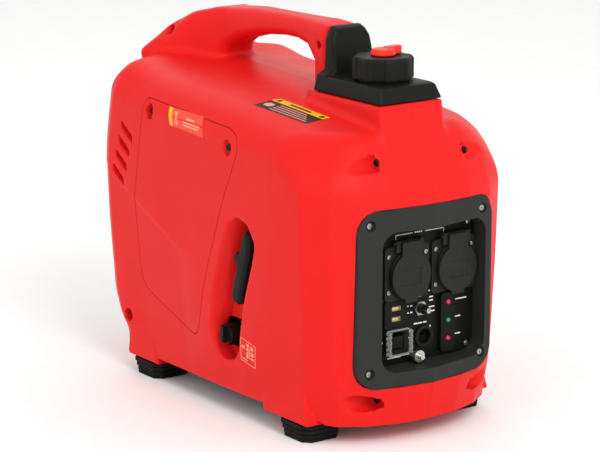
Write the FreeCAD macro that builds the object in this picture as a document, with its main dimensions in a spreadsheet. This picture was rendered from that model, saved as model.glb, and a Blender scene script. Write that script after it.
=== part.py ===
import FreeCAD, Part
import math
import os
import re
import Sketcher

# Portable inverter generator in a suitcase casing. Millimetres, +Z up, the control panel faces -Y,
# the service and starter side faces -X. The origin is on the floor, under the middle of the casing.

os.makedirs("parts", exist_ok=True)
doc = FreeCAD.newDocument("portable_generator")

sizes = {
    # casing
    "bodyLength": 498, "bodyWidth": 286, "wall": 3, "bodyBottom": 22, "sillHigh": 29, "seam": 0.5,
    "frontBow": 18, "crestFront": 364, "crestMid": 383, "crestRear": 397, "hoodFoot": 296,
    # handle
    "handleTop": 469, "handleHalf": 21, "handleFront": -73, "gapFront": -41, "gapRear": 146,
    "gapTop": 440, "tailHalf": 76, "handleWall": 3,
    # filler, cap and the raised seat under them
    "capY": -149, "seatHalf": 46, "seatFront": -203, "seatTop": 390, "bezelTop": 410,
    "neckRadius": 24, "neckWall": 3, "neckTop": 406, "capRadius": 36, "capBase": 412, "capTop": 438,
    "wingHalf": 28, "wingFront": -95, "wingTop": 466,
    # control panel
    "panelHalf": 98, "panelLow": 69, "panelHigh": 280, "frameLeft": -67, "frameRight": 88,
    "frameLow": 86, "frameHigh": 252, "plateFront": -211, "plateThick": 3,
    "socketPitch": 69, "socketX": -13, "socketZ": 195, "socketSide": 64, "collarRadius": 27,
    "cupRadius": 19.6, "cupDepth": 17, "lidRadius": 28, "lidThick": 4, "hingeZ": 231,
    # starter recess
    "panDepth": 26, "ropeZ": 200, "ropeY": -68, "ropeRadius": 2,
    # engine
    "crankZ": 150, "shaftRadius": 12, "shaftFit": 0.06, "boreRadius": 26, "pulleyRadius": 50,
    "cylinderY": 53, "rotorRadius": 72, "fanRadius": 88,
    # tank
    "tankHalf": 95, "tankLow": 292, "tankHigh": 350, "tankFront": -192, "tankRear": 120, "tankWall": 3,
    # feet and tray
    "footSide": 60, "footX": 136, "footFrontY": -184, "footRearY": 194, "footHigh": 22, "trayHigh": 37,
}

sheet = doc.addObject("Spreadsheet::Sheet", "Sizes")
for row, (alias, number) in enumerate(sizes.items(), 1):
    sheet.set(f"A{row}", alias)
    sheet.set(f"B{row}", str(number))
    sheet.setAlias(f"B{row}", alias)
doc.recompute()

parts = []


def tied(text):
    """The expression with every word of the sheet made a reference to its cell."""
    return re.sub(r"[A-Za-z_]\w*", lambda m: "Sizes." + m[0] if m[0] in sizes else m[0], str(text))


def keep(piece):
    """Marks a finished sub-part, which is written under its own label."""
    parts.append(piece)
    return piece


def moveTo(piece, x, y, z):
    for letter, place in zip("xyz", (x, y, z)):
        piece.setExpression("Placement.Base." + letter, tied(place))


def block(name, x, y, z):
    """A box between two planes along each axis; x, y and z are (low, high) pairs."""
    piece = doc.addObject("Part::Box", name)
    for size, (low, high) in zip(("Length", "Width", "Height"), (x, y, z)):
        piece.setExpression(size, tied(f"({high}) - ({low})"))
    moveTo(piece, x[0], y[0], z[0])
    return piece


turns = {
    "X": FreeCAD.Rotation(FreeCAD.Vector(0, 1, 0), 90),
    "Y": FreeCAD.Rotation(FreeCAD.Vector(1, 0, 0), -90),
    "Z": FreeCAD.Rotation(),
}


def bar(name, axis, radius, span, across):
    """A cylinder along an axis; across holds its two other coordinates in X, Y, Z order."""
    piece = doc.addObject("Part::Cylinder", name)
    piece.setExpression("Radius", tied(radius))
    piece.setExpression("Height", tied(f"({span[1]}) - ({span[0]})"))
    piece.Placement.Rotation = turns[axis]
    place = list(across)
    place.insert("XYZ".index(axis), span[0])
    moveTo(piece, *place)
    return piece


def cone(name, axis, radii, span, across):
    piece = doc.addObject("Part::Cone", name)
    piece.setExpression("Radius1", tied(radii[0]))
    piece.setExpression("Radius2", tied(radii[1]))
    piece.setExpression("Height", tied(f"({span[1]}) - ({span[0]})"))
    piece.Placement.Rotation = turns[axis]
    place = list(across)
    place.insert("XYZ".index(axis), span[0])
    moveTo(piece, *place)
    return piece


def fuse(name, pieces):
    joined = doc.addObject("Part::MultiFuse", name)
    joined.Shapes = pieces
    return joined


def common(name, pieces):
    shared = doc.addObject("Part::MultiCommon", name)
    shared.Shapes = pieces
    return shared


def cut(name, base, tools):
    tool = tools[0] if len(tools) == 1 else fuse(name + "Tools", tools)
    piece = doc.addObject("Part::Cut", name)
    piece.Base = base
    piece.Tool = tool
    return piece


def group(name, pieces):
    """Identical separate pieces that share one node."""
    together = doc.addObject("Part::Compound", name)
    together.Links = pieces
    return together


def outline(name, plane, points, span):
    """A PartDesign pad of a closed polygon; each corner's two coordinates are sketch constraints."""
    body = doc.addObject("PartDesign::Body", name)
    sketch = body.newObject("Sketcher::SketchObject", name + "Sketch")
    for feature in body.Origin.OriginFeatures:
        if feature.Role == plane + "_Plane":
            sketch.AttachmentSupport = [(feature, "")]
    sketch.MapMode = "FlatFace"
    start = f"-({span[1]})" if plane == "XZ" else span[0]
    sketch.setExpression("AttachmentOffset.Base.z", tied(start))
    count = len(points)
    corners = []
    for index in range(count):
        angle = 2 * math.pi * index / count
        corners.append(FreeCAD.Vector(100 * math.cos(angle), 100 * math.sin(angle), 0))
    for index in range(count):
        sketch.addGeometry(Part.LineSegment(corners[index], corners[(index + 1) % count]))
    for index in range(count):
        sketch.addConstraint(Sketcher.Constraint("Coincident", index, 2, (index + 1) % count, 1))
    for index, point in enumerate(points):
        for kind, letter, place in (("DistanceX", "u", point[0]), ("DistanceY", "v", point[1])):
            number = corners[index].x if letter == "u" else corners[index].y
            fixed = sketch.addConstraint(Sketcher.Constraint(kind, index, 1, number))
            sketch.renameConstraint(fixed, f"{letter}{index}")
            sketch.setExpression(f"Constraints.{letter}{index}", tied(place))
    pad = body.newObject("PartDesign::Pad", name + "Pad")
    pad.Profile = sketch
    pad.setExpression("Length", tied(f"({span[1]}) - ({span[0]})"))
    body.Tip = pad
    return body


def rounded(name, plane, u, v, span, radius):
    """A padded rectangle with corner cylinders' radius on its four long edges."""
    corners = [(u[0], v[0]), (u[1], v[0]), (u[1], v[1]), (u[0], v[1])]
    body = outline(name, plane, corners, span)
    doc.recompute()
    pad = body.Tip
    normal = {"XY": 2, "YZ": 0, "XZ": 1}[plane]
    edges = []
    for number, edge in enumerate(pad.Shape.Edges, 1):
        way = edge.tangentAt(edge.FirstParameter)
        if abs(way[normal]) > 0.99:
            edges.append(f"Edge{number}")
    fillet = body.newObject("PartDesign::Fillet", name + "Round")
    fillet.Base = (pad, edges)
    fillet.setExpression("Radius", tied(radius))
    body.Tip = fillet
    return body


def mirrored(points):
    """Both sides of a symmetric outline from its +X side, listed from the front round to the back."""
    return points + [(f"-({u})", v) for u, v in reversed(points) if u != "0"]


# ---------------------------------------------------------------- casing

halfLength = "bodyLength / 2"
halfWidth = "bodyWidth / 2"


def casing(name, inset):
    """The casing's outer form, or its hollow when inset is the wall's thickness."""
    rear = f"{halfLength} - {inset}"
    front = f"-{halfLength} + {inset}"
    side = f"{halfWidth} - {inset}"
    top = f"- {inset}"
    sideView = outline(name + "Side", "YZ", [
        (f"-237 + {inset}", "bodyBottom"), (f"-245 + {inset}", "60"), (front, "78"),
        (front, "hoodFoot"), (f"-232 + {inset}", f"328 {top}"), (f"-203 + {inset}", f"crestFront {top}"),
        ("-14", f"crestMid {top}"), ("178", f"crestRear - 3 {top}"), (f"232 - {inset}", f"crestRear {top}"),
        (rear, "283"), (f"240 - {inset}", "140"), (f"226 - {inset}", "60"), (f"213 - {inset}", "bodyBottom"),
    ], (f"-({side})", side))
    plan = outline(name + "Plan", "XY", mirrored([
        ("0", front), ("panelHalf", f"{front} + frontBow"), (f"130 - {inset}", f"-209 + {inset}"),
        (side, "-180"), (side, "218"), (f"134 - {inset}", f"240 - {inset}"), (f"116 - {inset}", rear),
    ]), ("bodyBottom", "crestRear + 10"))
    frontView = outline(name + "Front", "XZ", mirrored([
        (f"130 - {inset}", "bodyBottom"), (f"137 - {inset}", "70"), (side, "180"), (side, "338"),
        (f"136 - {inset}", f"358 {top}"), (f"120 - {inset}", f"374 {top}"), ("60", f"392 {top}"),
        ("0", f"crestRear + 5 {top}"),
    ]), (f"-{halfLength}", halfLength))
    return common(name, [sideView, plan, frontView])


def grip(name, inset):
    """The carrying handle: an arch in side view, flared at its rear foot in plan."""
    foot = "350"
    arch = outline(name + "Arch", "YZ", [
        (f"236 - {inset}", foot), (f"242 - {inset}", "402"), (f"231 - {inset}", f"424 - {inset}"),
        (f"207 - {inset}", f"443 - {inset}"), ("160", f"457 - {inset}"), ("96", f"handleTop - 5 - {inset}"),
        ("34", f"handleTop - 1 - {inset}"), ("-46", f"handleTop - {inset}"),
        (f"handleFront + {inset}", f"handleTop - 3 - {inset}"), (f"handleFront + {inset}", foot),
        (f"gapFront - {inset}", foot), (f"gapFront - {inset}", f"418 + {inset}"),
        ("gapFront + 19", f"gapTop - 2 + {inset}"), ("27", f"gapTop + {inset}"),
        ("70", f"gapTop - 4 + {inset}"), ("120", f"424 + {inset}"),
        (f"gapRear - 2 + {inset}", f"410 + {inset}"), (f"gapRear + 4 + {inset}", foot),
    ], ("-90", "90"))
    plan = outline(name + "Width", "XY", mirrored([
        (f"wingHalf - {inset}", "handleFront - 5"), (f"handleHalf + 2 - {inset}", "-30"),
        (f"handleHalf - {inset}", "30"), (f"handleHalf + 2 - {inset}", "140"),
        (f"handleHalf + 20 - {inset}", "190"), (f"tailHalf - {inset}", "226"),
        (f"tailHalf + 2 - {inset}", "250"),
    ]), (foot, "handleTop + 10"))
    return common(name, [arch, plan])


def seat(name, inset):
    """The raised seat under the filler surround."""
    return outline(name, "YZ", [
        (f"seatFront - 6 + {inset}", "340"), (f"seatFront + {inset}", f"seatTop - {inset}"),
        (f"handleFront + 8 - {inset}", f"seatTop - {inset}"), (f"handleFront + 8 - {inset}", "340"),
    ], (f"-seatHalf + {inset}", f"seatHalf - {inset}"))


# The service cover's and the starter recess's outlines on the left side, as (y, z).
coverOutline = [
    (140, 361), (-40, 350), (-57, 343), (-62, 330), (-32, 268), (-4, 200), (16, 150), (32, 92),
    (42, 82), (64, 86), (152, 117), (162, 132), (165, 228),
]
recessOutline = [
    (-59, 248), (-42, 240), (-25, 202), (-5, 149), (6, 100), (-2, 76), (-22, 66), (-42, 70),
    (-53, 84), (-58, 111), (-69, 150), (-88, 200), (-94, 221), (-80, 242),
]


def grown(points, by):
    """A convex outline moved outwards from its middle by a distance."""
    midU = sum(point[0] for point in points) / len(points)
    midV = sum(point[1] for point in points) / len(points)
    moved = []
    for u, v in points:
        reach = math.hypot(u - midU, v - midV)
        moved.append((round(u + by * (u - midU) / reach, 2), round(v + by * (v - midV) / reach, 2)))
    return moved


outer = fuse("casingOuter", [casing("outerBody", "0"), grip("outerGrip", "0"), seat("outerSeat", "0")])
hollow = fuse("casingHollow", [
    casing("innerBody", "wall"), grip("innerGrip", "handleWall"), seat("innerSeat", "wall"),
])
skin = cut("casingSkin", outer, [hollow])

panFloor = f"-{halfWidth} + panDepth"
throughPan = (f"{panFloor} - 1", f"{panFloor} + 5")
recessPan = outline("recessPan", "YZ", grown(recessOutline, 3), (f"-{halfWidth} + 2", f"{panFloor} + 3"))
recessCut = outline("recessCut", "YZ", recessOutline, (f"-{halfWidth} - 2", panFloor))
ropeHole = bar("ropeHole", "X", "6", throughPan, ("ropeY", "ropeZ"))
knobHole = block("knobHole", throughPan, ("-30", "-2"), ("78", "114"))
frameHole = rounded("frameHole", "XZ", ("-panelHalf - seam", "panelHalf + seam"),
                    ("panelLow - seam", "panelHigh + seam"), ("-260", "-200"), "28")
fillerHole = bar("fillerHole", "Z", "33", ("380", "395"), ("0", "capY"))
rearHole = rounded("rearHole", "XZ", ("-96", "96"), ("96", "276"), ("225", "260"), "18")
coverHole = outline("coverHole", "YZ", grown(coverOutline, 0.6), (f"-{halfWidth} - 5", f"-{halfWidth} + 26"))

# Four slanted vent slots near the rear edge on each side.
ventSlots = []
for sideName, low, high in (("Left", "-150", "-130"), ("Right", "130", "150")):
    for index in range(4):
        y, z = 169 + 7 * index, 304 - 19 * index
        ventSlots.append(outline(f"vent{sideName}{index}", "YZ", [
            (y, z), (y + 24, z + 16), (y + 24, z + 24), (y, z + 8),
        ], (low, high)))

# Screw pockets bored along X into the corners and the handle's feet: y, z, depth from the middle, radius.
screwPlaces = [(-219, 331, 62, 9), (-220.5, 52, 60, 9), (204, 70, 100, 8), (217, 424, 30, 6), (-57, 440, 10, 5)]
pockets, sleeves, screws = [], [], []
for index, (y, z, x, radius) in enumerate(screwPlaces):
    for letter, sign in (("L", -1), ("R", 1)):
        tag = f"{index}{letter}"
        across = (f"{y}", f"{z}")
        ends = sorted((sign * x, sign * 150))
        pockets.append(bar("pocket" + tag, "X", radius, ends, across))
        deeper = sorted((sign * (x - 3), sign * 150))
        sleeves.append(bar("sleeve" + tag, "X", radius + 2.5, deeper, across))
        through = sorted((sign * (x - 4), sign * (x + 1)))
        pockets.append(bar("screwHole" + tag, "X", 2.3, through, across))
        screws.append(fuse("screw" + tag, [
            bar("screwHead" + tag, "X", 4.5, sorted((sign * x, sign * (x + 3))), across),
            bar("screwStem" + tag, "X", 2, sorted((sign * (x - 9), sign * (x + 1))), across),
        ]))

sleevesInside = common("sleevesInside", [outer, fuse("sleeves", sleeves)])
solidParts = fuse("casingSolids", [skin, sleevesInside, recessPan])
sillCut = block("sillCut", ("-200", "200"), ("-98", "131"), ("bodyBottom - 2", "sillHigh"))
casingCut = cut("casingCut", solidParts, pockets + ventSlots + [
    recessCut, ropeHole, knobHole, frameHole, fillerHole, rearHole, coverHole, sillCut,
])
leftHalf = block("leftHalf", ("-200", "0"), ("-300", "300"), ("0", "500"))
rightHalf = block("rightHalf", ("0", "200"), ("-300", "300"), ("0", "500"))
keep(common("left_shell", [casingCut, leftHalf]))
keep(common("right_shell", [casingCut, rightHalf]))
keep(group("casing_screws", screws))

# Service cover: the same skin inside the cover's outline, with two captive screws in round pockets.
# Each screw has its y and z and the x of its pocket's floor.
coverPrism = outline("coverShape", "YZ", coverOutline, (f"-{halfWidth} - 5", "-110"))
coverBlank = common("coverBlank", [skin, coverPrism])
coverScrewPlaces = [(129, 345, -137.5), (-40, 328, -141)]
coverHoles, coverScrews = [], []
for index, (y, z, floor) in enumerate(coverScrewPlaces):
    coverHoles.append(bar(f"coverScrewHole{index}", "X", 3.3, ("-150", "-120"), (y, z)))
    coverHoles.append(bar(f"coverPocket{index}", "X", 7.5, ("-150", floor), (y, z)))
    coverScrews.append(fuse(f"coverScrew{index}", [
        bar(f"coverScrewHead{index}", "X", 5.5, (floor - 1.5, floor), (y, z)),
        bar(f"coverScrewStem{index}", "X", 3.2, (floor - 0.5, floor + 7), (y, z)),
    ]))
keep(cut("maintenance_cover", coverBlank, coverHoles))
keep(group("cover_screws", coverScrews))

# Rear grille: a louvred plate with the exhaust outlet.
louvres = []
for index in range(11):
    z = 112 + 14 * index
    louvres.append(block(f"louvre{index}", ("-82", "82"), ("220", "260"), (z, z + 6)))
grillePlate = rounded("grillePlate", "XZ", ("-95.5", "95.5"), ("96.5", "275.5"), ("229", "234"), "17")
tailHole = bar("tailHole", "Y", "16.5", ("220", "260"), ("45", "205"))
tailRing = bar("tailRing", "Y", "22", ("229", "236"), ("45", "205"))
grille = cut("grilleSlotted", grillePlate, louvres)
keep(cut("rear_grille", fuse("grilleRinged", [grille, tailRing]), [tailHole]))

# Bottom tray on four pads that stand on the ribbed rubber feet.
footPlaces = {
    "FrontLeft": ("-footX", "footFrontY"),
    "FrontRight": ("footX - footSide", "footFrontY"),
    "RearLeft": ("-footX", "footRearY - footSide"),
    "RearRight": ("footX - footSide", "footRearY - footSide"),
}
mountPlaces = [(-36, 25), (36, 25), (-36, 82), (36, 82)]
trayPlate = rounded("trayPlate", "XY", ("-126.5", "126.5"), ("-209.5", "209.5"),
                    ("sillHigh", "trayHigh"), "20")
trayInside = rounded("trayInside", "XY", ("-121", "121"), ("-204", "204"),
                     ("sillHigh + 3", "trayHigh + 1"), "15")
trayPads = []
for index, (x, y) in enumerate(mountPlaces):
    trayPads.append(block(f"mountPad{index}", (x - 18, x + 18), (y - 18, y + 18), ("sillHigh", "trayHigh")))
for name, (x, y) in footPlaces.items():
    trayPads.append(block("footPad" + name, (x + " + 12", x + " + footSide - 12"),
                          (y + " + 4", y + " + footSide - 4"), ("footHigh", "sillHigh + 1")))
keep(fuse("base_tray", [cut("trayShell", trayPlate, [trayInside])] + trayPads))
feet = []
for name, (x, y) in footPlaces.items():
    rubber = rounded("foot" + name, "XY", (x, x + " + footSide"), (y, y + " + footSide"),
                     ("0", "footHigh"), "9")
    core = rounded("footCore" + name, "XY", (x + " + 1.5", x + " + footSide - 1.5"),
                   (y + " + 1.5", y + " + footSide - 1.5"), ("0", "footHigh"), "8")
    grooves = []
    for index in range(3):
        z = 3.5 + 6 * index
        ring = block(f"footRing{name}{index}", (x + " - 1", x + " + footSide + 1"),
                     (y + " - 1", y + " + footSide + 1"), (z, z + 2.5))
        grooves.append(cut(f"footGroove{name}{index}", ring, [core]))
    feet.append(cut("ribbedFoot" + name, rubber, grooves))
keep(group("rubber_feet", feet))

# ---------------------------------------------------------------- filler and cap

surround = outline("surroundSide", "YZ", [
    ("seatFront", "seatTop"), ("seatFront + 6", "bezelTop - 1"), ("seatFront + 14", "bezelTop"),
    ("wingFront", "bezelTop"), ("wingFront + 6", "wingTop - 6"), ("wingFront + 14", "wingTop"),
    ("handleFront - 0.5", "wingTop"), ("handleFront - 0.5", "seatTop"),
], ("-seatHalf", "seatHalf"))
surroundFront = outline("surroundFront", "XZ", mirrored([
    ("seatHalf", "seatTop"), ("seatHalf - 5", "bezelTop"), ("wingHalf + 1", "bezelTop + 6"),
    ("wingHalf", "wingTop - 12"), ("wingHalf - 8", "wingTop"),
]), ("-210", "-60"))
fillerCut = bar("fillerCut", "Z", "31", ("380", "420"), ("0", "capY"))
keep(cut("cap_surround", common("surroundBlank", [surround, surroundFront]), [fillerCut]))

capAxis = ("0", "capY")
gasket = bar("gasketDisc", "Z", "neckRadius + neckWall", ("neckTop", "neckTop + 2.5"), capAxis)
gasketBore = bar("gasketBore", "Z", "neckRadius - 0.5", ("neckTop - 1", "neckTop + 4"), capAxis)
keep(cut("cap_gasket", gasket, [gasketBore]))
plugBody = fuse("plugBody", [
    bar("plugFlange", "Z", "29", ("neckTop + 2.5", "capBase - 0.3"), capAxis),
    bar("plugSkirt", "Z", "neckRadius - 0.6", ("394", "neckTop + 3"), capAxis),
    bar("plugHub", "Z", "8", ("neckTop + 3", "capBase + 11"), capAxis),
])
keep(cut("cap_plug", plugBody, [bar("plugHollow", "Z", "19", ("393", "neckTop"), capAxis)]))
capBody = bar("capBody", "Z", "capRadius", ("capBase", "capTop"), capAxis)
capVoid = cut("capVoid", bar("capVoidDisc", "Z", "capRadius - 4", ("capBase - 1", "capTop - 7"), capAxis), [
    bar("capBoss", "Z", "12", ("capBase - 2", "capTop"), capAxis),
])
gripFlats = []
for index in range(8):
    flat = block(f"gripFlat{index}", ("-9.5", "9.5"), ("capRadius - 1.8", "capRadius + 6"),
                 ("capBase + 3", "capTop + 1"))
    turnRadians = math.radians(45 * index)
    flat.Placement.Rotation = FreeCAD.Rotation(FreeCAD.Vector(0, 0, 1), 45 * index)
    along, across = math.cos(turnRadians), math.sin(turnRadians)
    moveTo(flat, f"-9.5 * {along:.6f} - (capRadius - 1.8) * {across:.6f}",
           f"capY - 9.5 * {across:.6f} + (capRadius - 1.8) * {along:.6f}", "capBase + 3")
    gripFlats.append(flat)
keep(cut("fuel_cap", capBody, [capVoid] + gripFlats + [
    bar("hubBore", "Z", "8 + shaftFit", ("capBase - 1", "capBase + 11.4"), capAxis),
    bar("leverBore", "Z", "4 + shaftFit", ("capTop - 8", "capTop + 1"), capAxis),
]))
keep(fuse("vent_lever", [
    bar("leverDisc", "Z", "14.5", ("capTop + 0.3", "capTop + 8"), capAxis),
    block("leverTab", ("8", "24"), ("capY - 5.5", "capY + 5.5"), ("capTop + 0.3", "capTop + 9.5")),
    bar("leverStem", "Z", "4", ("capTop - 7.5", "capTop + 1"), capAxis),
]))

# Fuel tank with its filler neck, hollow throughout.
def tankForm(name, inset):
    shell = rounded(name + "Box", "XY", (f"-tankHalf + {inset}", f"tankHalf - {inset}"),
                    (f"tankFront + {inset}", f"tankRear - {inset}"),
                    (f"tankLow + {inset}", f"tankHigh - {inset}"), "22")
    neckOuter = f"neckRadius + neckWall - {inset}"
    neckBar = bar(name + "Neck", "Z", neckOuter, ("tankHigh - 10", f"neckTop + {inset}"), capAxis)
    return fuse(name, [shell, neckBar])


keep(cut("fuel_tank", tankForm("tankOuter", "0"), [tankForm("tankInner", "tankWall")]))
strainer = bar("strainerCup", "Z", "20", ("330", "388"), capAxis)
keep(fuse("fuel_strainer", [
    cut("strainerShell", strainer, [bar("strainerVoid", "Z", "18.8", ("331.5", "390"), capAxis)]),
    cut("strainerRim", bar("rimDisc", "Z", "neckRadius - 0.05", ("386", "388"), capAxis),
        [bar("rimVoid", "Z", "18.8", ("385", "389"), capAxis)]),
]))

# ---------------------------------------------------------------- control panel

bezelBlank = common("bezelBlank", [
    rounded("bezelOutline", "XZ", ("-panelHalf", "panelHalf"), ("panelLow", "panelHigh"),
            ("-252", "plateFront"), "28"),
    outline("bezelBow", "XY", mirrored([
        ("0", "-bodyLength / 2"), ("panelHalf + 1", "-bodyLength / 2 + frontBow - 1"),
        ("panelHalf + 1", "plateFront"),
    ]), ("panelLow - 1", "panelHigh + 1")),
])
window = rounded("bezelWindow", "XZ", ("frameLeft", "frameRight"), ("frameLow", "frameHigh"),
                 ("-260", "-200"), "20")
bezelHollow = rounded("bezelHollow", "XZ", ("-panelHalf + 4", "panelHalf - 4"),
                      ("panelLow + 4", "panelHigh - 4"), ("-226", "-200"), "24")
bezelPockets, panelScrews = [], []
for index, place in enumerate([("-82", "262"), ("82", "262"), ("-82", "88"), ("82", "88")]):
    bezelPockets.append(bar(f"bezelPocket{index}", "Y", 6.5, ("-260", "-231"), place))
    panelScrews.append(bar(f"bezelScrew{index}", "Y", 4.2, ("-233.5", "-231"), place))
frameTubeOuter = rounded("frameTubeOuter", "XZ", ("frameLeft - 3", "frameRight + 3"),
                         ("frameLow - 3", "frameHigh + 3"), ("-228", "plateFront"), "22")
frameTube = cut("frameTube", frameTubeOuter, [window])
keep(fuse("panel_bezel", [cut("bezelFace", bezelBlank, [window, bezelHollow] + bezelPockets), frameTube]))

plate = rounded("plateBlank", "XZ", ("frameLeft - 7", "frameRight + 3"), ("frameLow - 7", "frameHigh + 3"),
                ("plateFront", "plateFront + plateThick"), "10")
socketCentres = [("socketX", "left"), ("socketX + socketPitch", "right")]
plateHoles = []
for x, side in socketCentres:
    plateHoles.append(bar(f"plateHole{side}", "Y", "collarRadius - 3", ("-215", "-200"), (x, "socketZ")))
plateHoles += [
    block("usbHole", ("-41", "-16"), ("-215", "-200"), ("133", "162")),
    bar("toggleHole", "Y", "6.2", ("-215", "-200"), ("9", "148")),
    block("breakerHole", ("-39", "-16"), ("-215", "-200"), ("102", "126")),
    bar("outletHole", "Y", "10.5", ("-215", "-200"), ("13", "114")),
    bar("terminalHole", "Y", "3", ("-215", "-200"), ("-3", "95")),
]
keep(cut("panel_plate", plate, plateHoles))
for index, place in enumerate([("-58", "243"), ("78", "243"), ("-58", "95"), ("78", "95")]):
    panelScrews.append(bar(f"plateScrew{index}", "Y", 3.6, ("plateFront - 2", "plateFront"), place))

lidPins = []
for x, side in socketCentres:
    half = "socketSide / 2"
    flange = rounded(f"flange{side}", "XZ", (f"{x} - {half}", f"{x} + {half}"),
                     (f"socketZ - {half}", f"socketZ + {half}"), ("plateFront - 3", "plateFront"), "5")
    collar = bar(f"collar{side}", "Y", "collarRadius", ("plateFront - 8", "plateFront - 1"), (x, "socketZ"))
    rearSpan = ("plateFront - 1", "plateFront + 22")
    rearBody = bar(f"rearBody{side}", "Y", "collarRadius - 3.3", rearSpan, (x, "socketZ"))
    cupSpan = ("plateFront - 10", "plateFront - 8 + cupDepth")
    cup = bar(f"cup{side}", "Y", "cupRadius", cupSpan, (x, "socketZ"))
    ears, pinHoles = [], []
    for way in (-1, 1):
        pinPlace = (f"{x} + {9.5 * way}", "socketZ")
        pinHoles.append(bar(f"pinHole{side}{way + 1}", "Y", 2.6, ("plateFront", "plateFront + 19"), pinPlace))
        earSpan = (f"{x} + {17 * way - 3}", f"{x} + {17 * way + 3}")
        ears.append(block(f"ear{side}{way + 1}", earSpan, ("plateFront - 9", "plateFront - 1"),
                          ("hingeZ - 10", "hingeZ + 3.5")))
    hingeHole = bar(f"hingeHole{side}", "X", "1.5", (f"{x} - 21", f"{x} + 21"), ("plateFront - 6", "hingeZ"))
    keep(cut(f"socket_base_{side}", fuse(f"socketSolid{side}", [flange, collar, rearBody] + ears),
             [cup] + pinHoles + [hingeHole]))
    lidPins.append(bar(f"lidPin{side}", "X", "1.5", (f"{x} - 20", f"{x} + 20"), ("plateFront - 6", "hingeZ")))
    lidY = ("plateFront - 8.3 - lidThick", "plateFront - 8.3")
    disc = bar(f"lidDisc{side}", "Y", "lidRadius", lidY, (x, "socketZ - 3"))
    neck = block(f"lidNeck{side}", (f"{x} - 13.5", f"{x} + 13.5"), lidY, ("socketZ + 14", "hingeZ - 2"))
    knuckle = bar(f"knuckle{side}", "X", "4", (f"{x} - 13.5", f"{x} + 13.5"), ("plateFront - 6", "hingeZ"))
    knuckleWeb = block(f"knuckleWeb{side}", (f"{x} - 13.5", f"{x} + 13.5"),
                       ("plateFront - 12.3", "plateFront - 6"), ("hingeZ - 4", "hingeZ + 2"))
    tab = block(f"lidTab{side}", (f"{x} - 9", f"{x} + 9"), lidY, ("socketZ - 34", "socketZ - 26"))
    mark = block(f"lidMark{side}", (f"{x} - 14", f"{x} + 14"), ("plateFront - 20", "plateFront - 11.3"),
                 ("socketZ - 14", "socketZ + 6"))
    boreSpan = (f"{x} - 15", f"{x} + 15")
    pinBore = bar(f"pinBore{side}", "X", "1.5 + shaftFit", boreSpan, ("plateFront - 6", "hingeZ"))
    lidSolid = fuse(f"lidSolid{side}", [disc, neck, knuckle, knuckleWeb, tab])
    keep(cut(f"socket_lid_{side}", lidSolid, [mark, pinBore]))
keep(group("lid_pins", lidPins))
panelScrews += [
    bar(f"socketScrew{side}{dx}{dz}", "Y", 2.6, ("plateFront - 4.2", "plateFront - 3"),
        (f"{x} + {27 if dx else -27}", f"socketZ + {21 if dz else -21}"))
    for x, side in socketCentres for dx in (0, 1) for dz in (0, 1)
]
keep(group("panel_screws", panelScrews))

usbFace = rounded("usbFace", "XZ", ("-45", "-12"), ("130", "162.6"), ("plateFront - 3", "plateFront"), "3")
usbBody = block("usbBody", ("-40.5", "-16.5"), ("plateFront - 1", "plateFront + 14"), ("133.5", "161.5"))
ports = [block(f"usbPort{i}", ("-34.7", "-22.3"), ("plateFront - 4", "plateFront + 9"), (z, z + 5.4))
         for i, z in enumerate((138.5, 151))]
keep(cut("usb_module", fuse("usbSolid", [usbFace, usbBody]), ports))
keep(group("usb_tongues", [
    block(f"usbTongue{i}", ("-33.5", "-23.5"), ("plateFront + 1", "plateFront + 9"), (z + 3.9, z + 5.4))
    for i, z in enumerate((138.5, 151))
]))

toggleAxis = ("9", "148")
toggleBody = fuse("toggleSolid", [
    bar("toggleBush", "Y", "5.9", ("plateFront - 8", "plateFront + 6"), toggleAxis),
    block("toggleCase", ("1", "17"), ("plateFront + 3", "plateFront + 18"), ("136", "160")),
])
toggleVoid = cone("toggleVoid", "Y", ("4.6", "4"), ("plateFront - 9", "plateFront + 4"), toggleAxis)
keep(cut("toggle_body", toggleBody, [toggleVoid]))
nut = doc.addObject("Part::Prism", "nutBlank")
nut.Polygon = 6
nut.Circumradius = 9
nut.Height = 2.5
nut.Placement.Rotation = turns["Y"]
moveTo(nut, "9", "plateFront - 2.6", "148")
keep(cut("toggle_nut", nut, [bar("nutBore", "Y", "6", ("-220", "-200"), toggleAxis)]))
keep(fuse("toggle_bat", [
    cone("batStick", "Y", ("3.2", "1.8"), ("plateFront - 17", "plateFront - 1"), toggleAxis),
    bar("batTrunnion", "X", "1.9", ("6.5", "11.5"), ("plateFront - 1", "148")),
]))

breakerFrame = cut("breakerFrame", rounded("breakerRim", "XZ", ("-44", "-11"), ("98", "130"),
                   ("plateFront - 4", "plateFront"), "3"), [
    block("breakerWindow", ("-38", "-17"), ("plateFront - 5", "plateFront + 1"), ("102.5", "125.5")),
])
breakerBox = block("breakerBox", ("-38.8", "-16.2"), ("plateFront - 2", "plateFront + 22"),
                   ("102.2", "125.8"))
breakerVoid = block("breakerVoid", ("-37", "-18"), ("plateFront - 5", "plateFront + 12"), ("104", "124"))
breakerCase = cut("breakerCase", breakerBox, [breakerVoid])
keep(fuse("breaker_body", [breakerFrame, breakerCase]))
keep(outline("breaker_rocker", "YZ", [
    ("plateFront - 4", "106"), ("plateFront - 7", "121"), ("plateFront + 4", "121"),
    ("plateFront + 6", "114"), ("plateFront + 4", "107"),
], ("-35", "-20")))

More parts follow.
